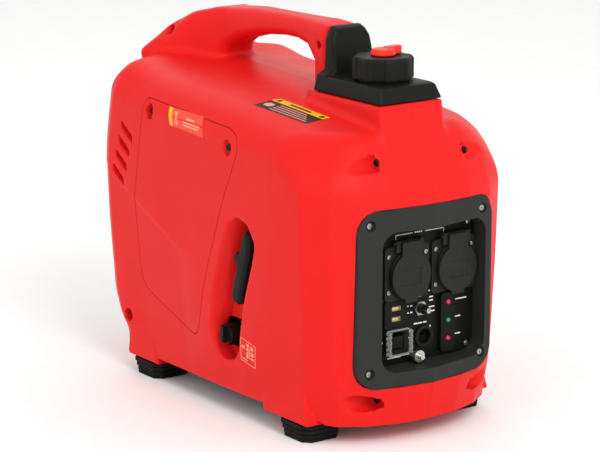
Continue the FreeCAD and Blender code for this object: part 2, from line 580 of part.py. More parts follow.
outletAxis = ("13", "114")
outletSolid = fuse("outletSolid", [
    bar("outletRing", "Y", "13", ("plateFront - 4", "plateFront"), outletAxis),
    bar("outletBody", "Y", "10.3", ("plateFront - 1", "plateFront + 16"), outletAxis),
])
keep(cut("dc_socket", outletSolid, [
    bar("outletCup", "Y", "9.2", ("plateFront - 5", "plateFront + 6"), outletAxis),
    block("outletSlotA", ("7", "9"), ("plateFront", "plateFront + 12"), ("110", "118")),
    block("outletSlotB", ("14", "20"), ("plateFront", "plateFront + 12"), ("113", "115")),
]))
terminalAxis = ("-3", "95")
keep(fuse("ground_stud", [
    bar("studRod", "Y", "2.9", ("plateFront - 22", "plateFront + 12"), terminalAxis),
    bar("studWasher", "Y", "7", ("plateFront - 1.6", "plateFront"), terminalAxis),
    bar("studBackNut", "Y", "5.5", ("plateFront + plateThick", "plateFront + plateThick + 4"), terminalAxis),
]))
knurls = []
for index in range(16):
    angle = 2 * math.pi * index / 16
    knurls.append(bar(f"knurl{index}", "Y", 0.8, ("plateFront - 17", "plateFront - 3"),
                      (f"-3 + {7.6 * math.cos(angle):.4f}", f"95 + {7.6 * math.sin(angle):.4f}")))
keep(cut("ground_nut", bar("nutBarrel", "Y", "7.5", ("plateFront - 16", "plateFront - 4"), terminalAxis),
         knurls + [bar("nutThread", "Y", "2.9 + shaftFit", ("plateFront - 20", "plateFront"), terminalAxis)]))
lampBlock = rounded("lampBlock", "XZ", ("36", "57"), ("91", "162.5"), ("plateFront - 6", "plateFront"), "5")
lampPlaces = [("46.5", "151"), ("46.5", "129"), ("46.5", "107")]
lampHoles, lenses = [], []
for index, place in enumerate(lampPlaces):
    lampHoles.append(bar(f"lampHole{index}", "Y", 3.1, ("plateFront - 8", "plateFront - 2"), place))
    lenses.append(bar(f"lampLens{index}", "Y", 3, ("plateFront - 7", "plateFront - 2"), place))
keep(cut("lamp_strip", lampBlock, lampHoles))
keep(group("lamp_lenses", lenses))

# ---------------------------------------------------------------- starter

gripBar = outline("gripBar", "YZ", [
    (-52, 141), (-40, 141), (-36, 150), (-52, 203), (-60, 226), (-68, 234), (-77, 226), (-76, 210),
    (-57, 148),
], (f"-{halfWidth} + 3", f"-{halfWidth} + 19"))
keep(fuse("starter_grip", [
    gripBar,
    bar("gripBoss", "X", "9", (f"-{halfWidth} + 5", f"-{halfWidth} + 19"), ("-48", "194")),
    bar("gripNeck", "X", "3.5", (f"-{halfWidth} + 18", f"-{halfWidth} + panDepth - 0.4"), ("ropeY", "ropeZ")),
]))
pulleyAxis = ("0", "crankZ")
keep(bar("starter_rope", "X", "ropeRadius", (f"-{halfWidth} + panDepth - 0.4", "-4"), ("ropeY", "ropeZ")))
pulleyBlank = bar("pulleyBlank", "Y", "pulleyRadius + 3", ("ropeY - 7", "ropeY + 7"), pulleyAxis)
grooveDisc = bar("grooveDisc", "Y", "pulleyRadius + 6", ("ropeY - 3", "ropeY + 3"), pulleyAxis)
grooveCore = bar("grooveCore", "Y", "pulleyRadius - 2.5", ("ropeY - 4", "ropeY + 4"), pulleyAxis)
pulleyBore = bar("pulleyBore", "Y", "8 + shaftFit", ("-90", "-60"), pulleyAxis)
keep(cut("recoil_pulley", pulleyBlank, [cut("pulleyGroove", grooveDisc, [grooveCore]), pulleyBore]))
housingCup = cut("housingCup", bar("housingDisc", "Y", "62", ("ropeY - 16", "ropeY + 12"), pulleyAxis), [
    bar("housingVoid", "Y", "58", ("ropeY - 13", "ropeY + 13"), pulleyAxis),
    block("ropeMouth", ("-70", "0"), ("ropeY - 5", "ropeY + 5"), ("ropeZ - 5", "ropeZ + 5")),
])
spindle = bar("housingSpindle", "Y", "8", ("ropeY - 14", "ropeY + 9"), pulleyAxis)
keep(fuse("recoil_housing", [housingCup, spindle]))
keep(cut("recoil_spring", bar("springDisc", "Y", "40", ("ropeY - 12.5", "ropeY - 7.5"), pulleyAxis),
         [bar("springVoid", "Y", "9", ("ropeY - 15", "ropeY - 5"), pulleyAxis)]))

# Fuel valve at the bottom of the starter recess.
keep(block("fuel_valve", (f"-{halfWidth} + panDepth + 6", "-92"), ("-30", "-2"), ("82", "110")))
knobAxis = ("-16", "96")
keep(fuse("valve_knob", [
    bar("knobDisc", "X", "12", (f"-{halfWidth} + 12", f"-{halfWidth} + panDepth + 4"), knobAxis),
    block("knobBar", (f"-{halfWidth} + 5", f"-{halfWidth} + 13"), ("-19", "-13"), ("86", "106")),
    bar("knobStem", "X", "3", (f"-{halfWidth} + panDepth + 3", f"-{halfWidth} + panDepth + 5.8"), knobAxis),
]))

# ---------------------------------------------------------------- engine and alternator

keep(cut("fan_housing", bar("fanTube", "Y", "98", ("-56", "2"), pulleyAxis), [
    bar("fanVoid", "Y", "94", ("-52", "3"), pulleyAxis), bar("fanEye", "Y", "50", ("-60", "-50"), pulleyAxis),
]))
blades = []
for index in range(12):
    angle = 30 * index
    blade = block(f"blade{index}", ("42", "fanRadius"), ("-46", "-30"), ("-1.2", "1.2"))
    blade.Placement.Rotation = FreeCAD.Rotation(FreeCAD.Vector(0, -1, 0), angle)
    reach, lift = math.cos(math.radians(angle)), math.sin(math.radians(angle))
    bladeX = f"42 * {reach:.6f} + 1.2 * {lift:.6f}"
    moveTo(blade, bladeX, "-46", f"crankZ + 42 * {lift:.6f} - 1.2 * {reach:.6f}")
    blades.append(blade)
fanDisc = bar("fanDisc", "Y", "rotorRadius", ("-34", "-28"), pulleyAxis)
rim = cut("rotorRim", bar("rimOuter", "Y", "rotorRadius", ("-30", "0"), pulleyAxis),
          [bar("rimInner", "Y", "rotorRadius - 9", ("-28", "1"), pulleyAxis)])
keep(cut("flywheel_rotor", fuse("rotorSolid", [fanDisc, rim] + blades),
         [bar("rotorBore", "Y", "shaftRadius", ("-50", "5"), pulleyAxis)]))
keep(cut("stator", fuse("statorSolid", [
    bar("statorCore", "Y", "rotorRadius - 11", ("-26", "0"), pulleyAxis),
    bar("statorBoss", "Y", "30", ("-1", "8"), pulleyAxis),
]), [bar("statorBore", "Y", "shaftRadius + 3", ("-30", "10"), pulleyAxis)]))
keep(block("ignition_coil", ("75", "93"), ("-20", "0"), ("crankZ - 12", "crankZ + 12")))

caseBox = block("caseBox", ("-55", "55"), ("8", "98"), ("80", "196"))
keep(cut("crankcase", caseBox, [
    bar("crankVoid", "Y", "40", ("16", "90"), pulleyAxis),
    bar("mainBore", "Y", "shaftRadius + shaftFit", ("0", "110"), pulleyAxis),
    bar("cylinderMouth", "Z", "boreRadius + 3", ("crankZ", "200"), ("0", "cylinderY")),
    bar("oilHole", "X", "8 + shaftFit", ("-60", "-40"), ("60", "100")),
]))
keep(fuse("crankshaft", [
    bar("shaftFront", "Y", "shaftRadius", ("-48", "cylinderY - 12"), pulleyAxis),
    bar("shaftRear", "Y", "shaftRadius", ("cylinderY + 12", "104"), pulleyAxis),
    bar("webFront", "Y", "34", ("cylinderY - 22", "cylinderY - 11"), pulleyAxis),
    bar("webRear", "Y", "34", ("cylinderY + 11", "cylinderY + 22"), pulleyAxis),
    bar("crankPin", "Y", "9", ("cylinderY - 12", "cylinderY + 12"), ("0", "crankZ + 19")),
]))
barrel = [bar("barrelTube", "Z", "boreRadius + 6", ("196", "246"), ("0", "cylinderY"))]
for index in range(6):
    z = 200 + 8 * index
    barrel.append(block(f"fin{index}", ("-44", "44"), ("cylinderY - 42", "cylinderY + 42"), (z, z + 2.5)))
cylinderBore = bar("cylinderBore", "Z", "boreRadius", ("190", "250"), ("0", "cylinderY"))
keep(cut("cylinder", fuse("cylinderSolid", barrel), [cylinderBore]))
headForm = [block("headBase", ("-42", "42"), ("cylinderY - 40", "cylinderY + 40"), ("246", "256"))]
for index in range(7):
    finSpan = (f"cylinderY + {-40 + 13 * index}", f"cylinderY + {-36 + 13 * index}")
    headForm.append(block(f"headFin{index}", ("-42", "42"), finSpan, ("254", "266")))
plugThread = bar("plugThread", "X", "7", ("18", "60"), ("cylinderY", "255"))
keep(cut("cylinder_head", fuse("headSolid", headForm), [plugThread]))
keep(block("rocker_cover", ("-34", "34"), ("cylinderY - 32", "cylinderY + 32"), ("266", "284")))
keep(cut("piston", bar("pistonBlank", "Z", "boreRadius - 0.3", ("223", "244"), ("0", "cylinderY")), [
    bar("pistonVoid", "Z", "boreRadius - 6", ("222", "238"), ("0", "cylinderY")),
    bar("gudgeonHole", "Y", "5", ("cylinderY - 30", "cylinderY + 30"), ("0", "230")),
]))
keep(fuse("spark_plug", [
    bar("plugMetal", "X", "7", ("20", "50"), ("cylinderY", "255")),
    bar("plugCap", "X", "9", ("50", "82"), ("cylinderY", "255")),
]))
keep(fuse("oil_dipstick", [
    bar("dipCap", "X", "13", ("-69", "-55.4"), ("60", "100")),
    bar("dipThread", "X", "8", ("-56", "-44"), ("60", "100")),
]))
keep(fuse("carburettor", [
    block("carbBody", ("-82", "-52"), ("cylinderY - 14", "cylinderY + 14"), ("206", "244")),
    bar("intake", "X", "9", ("-53", "-44"), ("cylinderY", "229")),
]))
filterCase = rounded("filterCase", "YZ", ("10", "100"), ("176", "252"), ("-130", "-82.2"), "8")
filterVoid = rounded("filterVoid", "YZ", ("12", "98"), ("178", "250"), ("-128", "-84.2"), "6")
keep(cut("air_filter_box", filterCase, [filterVoid]))
keep(fuse("muffler", [
    cut("mufflerShell", rounded("mufflerCase", "XZ", ("-70", "70"), ("120", "238"), ("136", "214"), "20"), [
        rounded("mufflerVoid", "XZ", ("-68", "68"), ("122", "236"), ("138", "212"), "18"),
    ]),
    bar("tailPipe", "Y", "15.8", ("213", "240"), ("45", "205")),
]))
keep(bar("exhaust_pipe", "Y", "11", ("cylinderY + 42", "136"), ("25", "222")))
keep(group("engine_mounts", [
    bar(f"mount{index}", "Z", 13, ("trayHigh", "80"), place) for index, place in enumerate(mountPlaces)
]))
inverterFins = []
for index in range(17):
    x = -84 + 10 * index
    inverterFins.append(block(f"heatFin{index}", (x, x + 3), ("-130", "-112"), ("60", "228")))
inverterCase = cut("inverterCase", block("inverterBlock", ("-88", "88"), ("-176", "-129"), ("50", "240")), [
    block("inverterVoid", ("-85", "85"), ("-173", "-133"), ("53", "237")),
])
keep(fuse("inverter_module", [inverterCase] + inverterFins))

# ---------------------------------------------------------------- writing

doc.recompute()
for item in doc.Objects:
    if "Invalid" in item.State or "Error" in item.State:
        raise RuntimeError(f"{item.Label} did not compute: {item.State}")
for piece in parts:
    shape = piece.Shape
    if shape.isNull() or not shape.isValid():
        raise RuntimeError(f"{piece.Label} has no valid shape")
for piece in parts:
    piece.Shape.exportStep(f"parts/{piece.Label}.step")
    box = piece.Shape.BoundBox
    ends = ((box.XMin, box.XMax), (box.YMin, box.YMax), (box.ZMin, box.ZMax))
    sides = [f"{low:.1f} to {high:.1f}" for low, high in ends]
    print(f"{piece.Label:18s} {len(piece.Shape.Solids):3d} solids {piece.Shape.Volume / 1000:9.1f} cm3",
          "  ".join(sides))
print(len(parts), "sub-parts written")
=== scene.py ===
import bmesh
import bpy
import math
import numpy as np
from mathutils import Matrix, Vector


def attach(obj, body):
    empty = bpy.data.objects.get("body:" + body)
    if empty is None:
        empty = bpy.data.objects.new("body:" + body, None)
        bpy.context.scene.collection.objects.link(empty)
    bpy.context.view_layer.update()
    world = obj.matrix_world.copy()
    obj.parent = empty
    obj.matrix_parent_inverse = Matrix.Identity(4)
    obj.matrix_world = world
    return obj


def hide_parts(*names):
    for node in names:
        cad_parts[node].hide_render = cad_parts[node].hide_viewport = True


# A suitcase inverter generator: +Z up, the panel faces -Y, the starter side faces -X.
# Forms are worked out in millimetres and made into meshes in metres.

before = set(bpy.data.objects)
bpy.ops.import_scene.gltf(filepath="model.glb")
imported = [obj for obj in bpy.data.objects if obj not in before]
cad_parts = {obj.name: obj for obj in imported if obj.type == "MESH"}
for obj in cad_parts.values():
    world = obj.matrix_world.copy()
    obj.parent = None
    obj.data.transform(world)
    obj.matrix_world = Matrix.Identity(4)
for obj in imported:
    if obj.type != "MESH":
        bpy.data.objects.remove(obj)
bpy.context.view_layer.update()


# helpers for shader and geometry trees

def colour(code):
    # linear colour of an sRGB hex code
    parts = [int(code[i:i + 2], 16) / 255 for i in (1, 3, 5)]
    return tuple(v / 12.92 if v <= 0.04045 else ((v + 0.055) / 1.055) ** 2.4 for v in parts) + (1,)


def addNode(tree, kind, settings):
    # a node with its properties, values and links set
    node = tree.nodes.new(kind)
    for key, value in settings.items():
        if isinstance(key, str) and hasattr(node, key):
            setattr(node, key, value)
        elif isinstance(value, bpy.types.NodeSocket):
            tree.links.new(value, node.inputs[key])
        else:
            node.inputs[key].default_value = value
    return node


def surface(name, look):
    # broad mottling, a fine grain, rounded edges and some wear on them; base and shade are the two
    # tones, worn the tone of the edges, rough the roughness range, mottle and grain the sizes of
    # the pattern, height the grain's depth and edge the rounding, all in mm
    material = bpy.data.materials.new(name)
    material.use_nodes = True
    tree = material.node_tree
    tree.nodes.clear()
    where = addNode(tree, "ShaderNodeTexCoord", {}).outputs["Object"]
    if "stretch" in look:
        where = addNode(tree, "ShaderNodeMapping", {"Vector": where, "Scale": look["stretch"]}).outputs[0]
    mottle = addNode(tree, "ShaderNodeTexNoise", {
        "Vector": where, "Scale": 1000 / look["mottle"], "Detail": 5, "Roughness": 0.6,
    }).outputs["Fac"]
    if look.get("pattern") == "cells":
        grain = addNode(tree, "ShaderNodeTexVoronoi", {
            "Vector": where, "Scale": 1000 / look["grain"],
        }).outputs["Distance"]
    else:
        grain = addNode(tree, "ShaderNodeTexNoise", {
            "Vector": where, "Scale": 1000 / look["grain"], "Detail": 2,
        }).outputs["Fac"]
    rounded = addNode(tree, "ShaderNodeBevel", {"samples": 4, "Radius": look["edge"] / 1000}).outputs[0]
    flat = addNode(tree, "ShaderNodeNewGeometry", {}).outputs["Normal"]
    agree = addNode(tree, "ShaderNodeVectorMath", {
        "operation": "DOT_PRODUCT", 0: rounded, 1: flat,
    }).outputs["Value"]
    corner = addNode(tree, "ShaderNodeMapRange", {
        "Value": agree, "From Min": 0.99, "From Max": 0.8, "To Min": 0, "To Max": look.get("wear", 0.35),
    }).outputs[0]
    chipped = addNode(tree, "ShaderNodeMath", {"operation": "MULTIPLY", 0: corner, 1: grain}).outputs[0]
    tone = addNode(tree, "ShaderNodeMix", {
        "data_type": "RGBA", 0: mottle, 6: colour(look["base"]), 7: colour(look["shade"]),
    }).outputs[2]
    tone = addNode(tree, "ShaderNodeMix", {
        "data_type": "RGBA", 0: chipped, 6: tone, 7: colour(look["worn"]),
    }).outputs[2]
    rough = addNode(tree, "ShaderNodeMapRange", {
        "Value": mottle, "From Min": 0.3, "From Max": 0.7,
        "To Min": look["rough"][0], "To Max": look["rough"][1],
    }).outputs[0]
    bump = addNode(tree, "ShaderNodeBump", {
        "Strength": look.get("strength", 0.35), "Distance": look["height"] / 1000,
        "Height": grain, "Normal": rounded,
    }).outputs[0]
    shader = addNode(tree, "ShaderNodeBsdfPrincipled", {
        "Base Color": tone, "Roughness": rough, "Normal": bump, "Metallic": look.get("metal", 0.0),
        "Coat Weight": look.get("coat", 0.0), "Coat Roughness": 0.25,
        "Specular IOR Level": look.get("specular", 0.14),
        "Transmission Weight": look.get("clear", 0.0), "Alpha": look.get("alpha", 1.0),
    })
    addNode(tree, "ShaderNodeOutputMaterial", {"Surface": shader.outputs[0]})
    return material


# each finish: the real material and how the piece is made from it
materials = {name: surface(name, look) for name, look in {
    # injection-moulded ABS, self-coloured red with a fine satin spark texture
    "redMouldedAbs": dict(
        base="#DF1B1A", shade="#D61817", worn="#EC463E", rough=(0.38, 0.47), mottle=60, grain=0.9,
        height=0.025, edge=0.8, wear=0.25,
    ),
    # injection-moulded ABS in the lever's lighter orange red
    "orangeMouldedAbs": dict(
        base="#F23A2B", shade="#E83224", worn="#FF7A66", rough=(0.3, 0.4), mottle=12, grain=0.7,
        height=0.02, edge=0.8,
    ),
    # injection-moulded polypropylene with a leather-grain texture, near black
    "blackMouldedPp": dict(
        base="#141512", shade="#0F100E", worn="#3A3B38", rough=(0.4, 0.55), mottle=30, grain=0.8,
        height=0.05, edge=1.4, wear=0.5,
    ),
    # moulded ABS bezel, dark olive grey, spark-eroded matt texture
    "greyMouldedAbs": dict(
        base="#2E2F2C", shade="#272825", worn="#4A4B46", rough=(0.5, 0.62), mottle=40, grain=0.6,
        height=0.05, edge=1.6, wear=0.4,
    ),
    # panel plate: pressed sheet with black powder coating
    "powderCoatBlack": dict(
        base="#0F100E", shade="#0B0C0A", worn="#2B2C2A", rough=(0.42, 0.58), mottle=18, grain=0.5,
        height=0.04, edge=0.5, pattern="cells",
    ),
    # glass-filled nylon of the sockets and their lids, satin
    "socketNylon": dict(
        base="#272823", shade="#20211D", worn="#55574F", rough=(0.45, 0.58), mottle=16, grain=0.5,
        height=0.03, edge=0.9, wear=0.5,
    ),
    # blow-moulded polyethylene, waxy
    "tankPolyethylene": dict(
        base="#2A2A28", shade="#20201F", worn="#444440", rough=(0.4, 0.55), mottle=50, grain=2.5,
        height=0.1, edge=1.5,
    ),
    # compression-moulded nitrile rubber with a dry bloom
    "footRubber": dict(
        base="#171715", shade="#0F0F0E", worn="#30302D", rough=(0.6, 0.8), mottle=20, grain=0.7,
        height=0.07, edge=0.8, wear=0.5, pattern="cells",
    ),
    # cold-headed steel screws with clear zinc plating
    "zincPlatedSteel": dict(
        base="#B9BAB6", shade="#9C9E9A", worn="#D8D9D6", rough=(0.25, 0.42), mottle=3, grain=0.4,
        height=0.02, edge=0.3, metal=1.0,
    ),
    # cold-headed steel screws with black oxide, darkened and warmed to a reddish brown as painted shade of the
    # deep red screw pockets
    "blackOxideSteelPaintedPocketShade": dict(
        base="#3B3533", shade="#2A2625", worn="#5E5856", rough=(0.4, 0.55), mottle=3, grain=0.4,
        height=0.02, edge=0.3, metal=1.0,
    ),
    # blued spring strip
    "bluedSpringSteel": dict(
        base="#4A4F5C", shade="#3A3E48", worn="#7C818C", rough=(0.3, 0.45), mottle=10, grain=1.0,
        height=0.02, edge=0.4, metal=1.0, stretch=(8, 1, 1),
    ),
    # turned brass, nickel plated and knurled
    "nickelPlatedBrass": dict(
        base="#D2D0C8", shade="#B4B2AA", worn="#EAE8E0", rough=(0.15, 0.3), mottle=4, grain=0.5,
        height=0.02, edge=0.4, metal=1.0,
    ),
    # moulded acrylic lamp lenses
    "redLampAcrylic": dict(
        base="#E0305A", shade="#B81F42", worn="#FF8FA8", rough=(0.1, 0.2), mottle=2, grain=0.4,
        height=0.01, edge=0.3, coat=0.6,
    ),
    "greenLampAcrylic": dict(
        base="#1FA35C", shade="#14803F", worn="#8FE0B0", rough=(0.1, 0.2), mottle=2, grain=0.4,
        height=0.01, edge=0.3, coat=0.6,
    ),
    # insert-moulded cream nylon tongues
    "creamNylon": dict(
        base="#E9DFC0", shade="#D5C89F", worn="#F7F1DC", rough=(0.35, 0.45), mottle=5, grain=0.5,
        height=0.02, edge=0.3,
    ),
    # stamped port shells with gold flash plating
    "goldFlashSteel": dict(
        base="#CDB36A", shade="#B0954A", worn="#EFDDA0", rough=(0.25, 0.4), mottle=3, grain=0.4,
        height=0.01, edge=0.2, metal=1.0,
    ),
    # braided polyester starter rope
    "braidedPolyester": dict(
        base="#C9C5B8", shade="#A7A294", worn="#E2DED2", rough=(0.75, 0.9), mottle=4, grain=1.4,
        height=0.3, edge=0.3, pattern="cells", stretch=(0.5, 1, 1),
    ),
    # die-cast aluminium, bead blasted
    "dieCastAluminium": dict(
        base="#A9ABAA", shade="#8F9190", worn="#CBCDCC", rough=(0.4, 0.6), mottle=25, grain=0.9,
        height=0.08, edge=1.0, metal=1.0,
    ),
    # sheet steel in heat-proof black paint
    "heatProofPaint": dict(
        base="#26241F", shade="#1A1916", worn="#5A5146", rough=(0.55, 0.75), mottle=20, grain=1.2,
        height=0.06, edge=0.8,
    ),
    # ground and turned engine steel with a film of oil
    "machinedSteel": dict(
        base="#8C8F92", shade="#74777A", worn="#B5B8BA", rough=(0.25, 0.4), mottle=15, grain=0.8,
        height=0.03, edge=0.5, metal=1.0, stretch=(1, 14, 1),
    ),
    # pad-printed white ink on the panel
    "whitePanelInk": dict(
        base="#E8E8E2", shade="#D2D2CA", worn="#FFFFFF", rough=(0.5, 0.65), mottle=4, grain=0.3,
        height=0.01, edge=0.1,
    ),
    # printed vinyl labels, one per ink
    "blackLabelVinyl": dict(
        base="#241A18", shade="#1C1413", worn="#3B2E2B", rough=(0.35, 0.45), mottle=15, grain=0.6,
        height=0.01, edge=0.1,
    ),
    "yellowLabelVinyl": dict(
        base="#F4B51D", shade="#EAA814", worn="#FFD460", rough=(0.35, 0.45), mottle=15, grain=0.6,
        height=0.01, edge=0.1,
    ),
    "orangeLabelVinyl": dict(
        base="#F0523C", shade="#EA4833", worn="#FF8B78", rough=(0.35, 0.45), mottle=15, grain=0.6,
        height=0.01, edge=0.1,
    ),
    "paleLabelInk": dict(
        base="#F8A088", shade="#F0947C", worn="#FFC2B2", rough=(0.4, 0.5), mottle=10, grain=0.5,
        height=0.01, edge=0.1,
    ),
    "pinkLabelInk": dict(
        base="#E8A59A", shade="#D88F84", worn="#F8C8C0", rough=(0.4, 0.5), mottle=10, grain=0.5,
        height=0.01, edge=0.1,
    ),
    # thermoformed clear vinyl boot over the breaker
    "clearVinylBoot": dict(
        base="#F2F4F0", shade="#E4E8E2", worn="#FFFFFF", rough=(0.08, 0.2), mottle=8, grain=1.2,
        height=0.03, edge=0.5, alpha=0.34, wear=0.5, specular=0.5,
    ),
}.items()}
print("finishes made:", len(materials))


# distances in millimetres, and meshes made from them

def roundMax(a, b, radius):
    u, v = np.maximum(a + radius, 0), np.maximum(b + radius, 0)
    return np.sqrt(u * u + v * v) + np.minimum(np.maximum(a, b) + radius, 0) - radius


def roundMin(a, b, radius):
    return -roundMax(-a, -b, radius)


def curve(t, knots):
    # smooth value through knots
    xs, ys = np.array(knots, float).T
    slope = np.gradient(ys, xs)
    t = np.clip(t, xs[0], xs[-1])
    i = np.clip(np.searchsorted(xs, t) - 1, 0, len(xs) - 2)
    h = xs[i + 1] - xs[i]
    u = (t - xs[i]) / h
    return ((1 + 2 * u) * (1 - u) ** 2 * ys[i] + u * (1 - u) ** 2 * h * slope[i]
            + u * u * (3 - 2 * u) * ys[i + 1] + u * u * (u - 1) * h * slope[i + 1])


def inset(points, by):
    # the outline with each edge moved inwards; the corners are listed anticlockwise
    p = np.array(points, float)
    way = np.roll(p, -1, 0) - p
    way /= np.hypot(*way.T)[:, None]
    inward = np.stack([-way[:, 1], way[:, 0]], 1)
    moved = []
    for i in range(len(p)):
        a, b = i - 1, i
        matrix = np.array([inward[a], inward[b]])
        moved.append(np.linalg.solve(matrix, [inward[a] @ p[a] + by, inward[b] @ p[b] + by]))
    return np.array(moved)


def outlineDistance(u, v, points, radius=0.0):
    # signed distance to a closed outline whose corners are rounded
    p = inset(points, radius) if radius else np.array(points, float)
    best = np.full(u.shape, 1e18)
    sign = np.ones(u.shape)
    for i in range(len(p)):
        a, b = p[i - 1], p[i]
        eu, ev = b - a
        wu, wv = u - a[0], v - a[1]
        t = np.clip((wu * eu + wv * ev) / (eu * eu + ev * ev), 0, 1)
        best = np.minimum(best, (wu - eu * t) ** 2 + (wv - ev * t) ** 2)
        above = (v >= a[1]) & (v < b[1]) & (eu * wv > ev * wu)
        below = (v < a[1]) & (v >= b[1]) & (eu * wv < ev * wu)
        sign = np.where(above | below, -sign, sign)
    return sign * np.sqrt(best) - radius


def meshFromDistance(name, distance, low, high, step, pull=3):
    # closed mesh of the zero level of a distance, found in blocks of four cells and pulled onto it
    low = np.array(low, float)
    blocks = np.ceil((np.array(high, float) - low) / (4 * step)).astype(int)
    centres = [low[a] + (np.arange(blocks[a]) + 0.5) * 4 * step for a in range(3)]
    gx, gy, gz = np.meshgrid(*centres, indexing="ij")
    rough = distance(gx.ravel(), gy.ravel(), gz.ravel()).reshape(blocks)
    near = np.abs(rough) < 4.6 * step
    field = np.repeat(np.repeat(np.repeat(np.sign(rough) * 99.0, 4, 0), 4, 1), 4, 2)
    field = np.pad(field, ((0, 1),) * 3, mode="edge")
    mask = np.repeat(np.repeat(np.repeat(near, 4, 0), 4, 1), 4, 2)
    mask = np.pad(mask, ((0, 1),) * 3)
    for axis in range(3):
        mask |= np.roll(mask, 1, axis)
    spots = np.argwhere(mask)
    x, y, z = (low + spots * step).T
    field[mask] = distance(x, y, z)
    # one vertex in each cell that the surface crosses
    inside = field < 0
    cell = [slice(0, -1), slice(1, None)]
    corners = [(i, j, k) for i in (0, 1) for j in (0, 1) for k in (0, 1)]
    total = sum(inside[cell[i], cell[j], cell[k]].astype(np.int8) for i, j, k in corners)
    crossed = (total > 0) & (total < 8)
    cells = np.argwhere(crossed)
    number = np.full(crossed.shape, -1, np.int32)
    number[crossed] = np.arange(len(cells))
    value = {c: field[cells[:, 0] + c[0], cells[:, 1] + c[1], cells[:, 2] + c[2]] for c in corners}
    place, hits = np.zeros((len(cells), 3)), np.zeros(len(cells))
    for c in corners:
        for axis in range(3):
            if c[axis]:
                continue
            d = tuple(1 if a == axis else c[a] for a in range(3))
            cross = (value[c] < 0) != (value[d] < 0)
            t = np.where(cross, value[c] / np.where(cross, value[c] - value[d], 1), 0)
            point = np.tile(np.array(c, float), (len(cells), 1))
            point[:, axis] = t
            place += point * cross[:, None]
            hits += cross
    points = low + (cells + place / hits[:, None]) * step
    for _ in range(pull):
        d = distance(*points.T)
        slope = np.stack([distance(*(points + np.eye(3)[a] * 0.2).T) - d for a in range(3)], 1) / 0.2
        move = slope * (d / np.maximum((slope * slope).sum(1), 0.2))[:, None]
        points -= np.clip(move, -step * 0.5, step * 0.5)
    # one face round each grid edge that the surface crosses
    faces = []
    for axis in range(3):
        b, c = (axis + 1) % 3, (axis + 2) % 3
        first = [slice(1, -1)] * 3
        first[axis] = slice(0, -1)
        second = list(first)
        second[axis] = slice(1, None)
        one, two = inside[tuple(first)], inside[tuple(second)]
        edges = np.argwhere(one != two)
        out = one[tuple(edges.T)]
        start = edges.copy()
        start[:, b] += 1
        start[:, c] += 1
        quad = []
        for db, dc in ((1, 1), (0, 1), (0, 0), (1, 0)):
            at = start.copy()
            at[:, b] -= db
            at[:, c] -= dc
            quad.append(number[tuple(at.T)])
        quad = np.stack(quad, 1)
        quad[~out] = quad[~out][:, ::-1]
        faces.append(quad)
    faces = np.concatenate(faces)
    mesh = bpy.data.meshes.new(name)
    mesh.from_pydata((points / 1000).tolist(), [], faces.tolist())
    mesh.update()
    piece = bpy.data.objects.new(name, mesh)
    bpy.context.collection.objects.link(piece)
    return piece


# casing form: half widths are measured from the middle, so both sides are the same

planPoints = [(0, -249), (60, -244), (98, -232), (126, -213), (142, -180), (143.5, -120), (143.5, 226),
              (136, 243), (116, 250), (-116, 250), (-136, 243), (-143.5, 226), (-143.5, -120), (-142, -180),
              (-126, -213), (-98, -232), (-60, -244)]
taperKnots = [(22, 9), (70, 5), (180, 0), (480, 0)]
rearKnots = [(22, 34), (56, 27), (66, 18), (91, 7), (134, 4), (224, 1), (283, 2), (320, 7), (350, 13),
             (380, 18), (420, 26)]
crestKnots = [(-250, 364), (-203, 367), (-14, 388), (120, 396), (178, 401), (215, 408), (250, 411)]
crownKnots = [(0, 0), (30, 2.5), (60, 6), (90, 10), (110, 14), (125, 21), (143, 34)]
archPoints = [(237, 350), (243, 402), (232, 429), (208, 448), (162, 459.5), (96, 465), (34, 466),
              (-46, 467), (-73, 464), (-73, 350), (-41, 350), (-41, 418), (-24, 435), (0, 440), (27, 440),
              (70, 436), (120, 424), (143, 411), (149, 400), (149, 350)]
widthPoints = [(28, -78), (22, -30), (20, 30), (23, 140), (42, 190), (78, 226), (100, 250), (-100, 250),
               (-78, 226), (-42, 190), (-23, 140), (-20, 30), (-22, -30), (-28, -78)]
tailKnots = [(0, 470), (20, 466), (30, 450), (45, 438), (55, 427), (75, 411), (110, 392), (130, 376)]
seatPoints = [(-209, 345), (-203, 390), (-60, 390), (-60, 345)]
bowKnots = [(0, 0), (60, 5), (98, 15), (143, 36)]
recessPoints = [(-59, 248), (-80, 242), (-94, 221), (-88, 200), (-69, 150), (-58, 111), (-53, 84),
                (-42, 70), (-22, 66), (-2, 76), (6, 100), (-5, 149), (-25, 202), (-42, 240)]
# screw pockets: y, z, how far from the middle they end, radius
casingPockets = [(-221, 331, 62, 10.5), (-224, 52, 59, 10.5), (217, 426, 30, 6), (-57, 440, 12, 5),
                 (200, 72, 100, 8)]
coverPockets = [(129, 345, 137), (-40, 328, 140.5)]  # y, z, depth of the floor
footPads = [(-186, -97, 64, 0.35), (131, 200, 48, 0.5)]  # front, rear, top, lean of the front face
ventLook = {"count": 4, "first": (181, 312), "pitch": (7, -19), "half": 12, "thick": 4.0, "slant": 0.67}


def smoothStep(t, low, high):
    t = np.clip((t - low) / (high - low), 0, 1)
    return t * t * (3 - 2 * t)


def rod(a, b, c, ends, at, radius):
    # a bar along the first of three coordinates
    return np.maximum(np.hypot(b - at[0], c - at[1]) - radius, np.maximum(ends[0] - a, a - ends[1]))


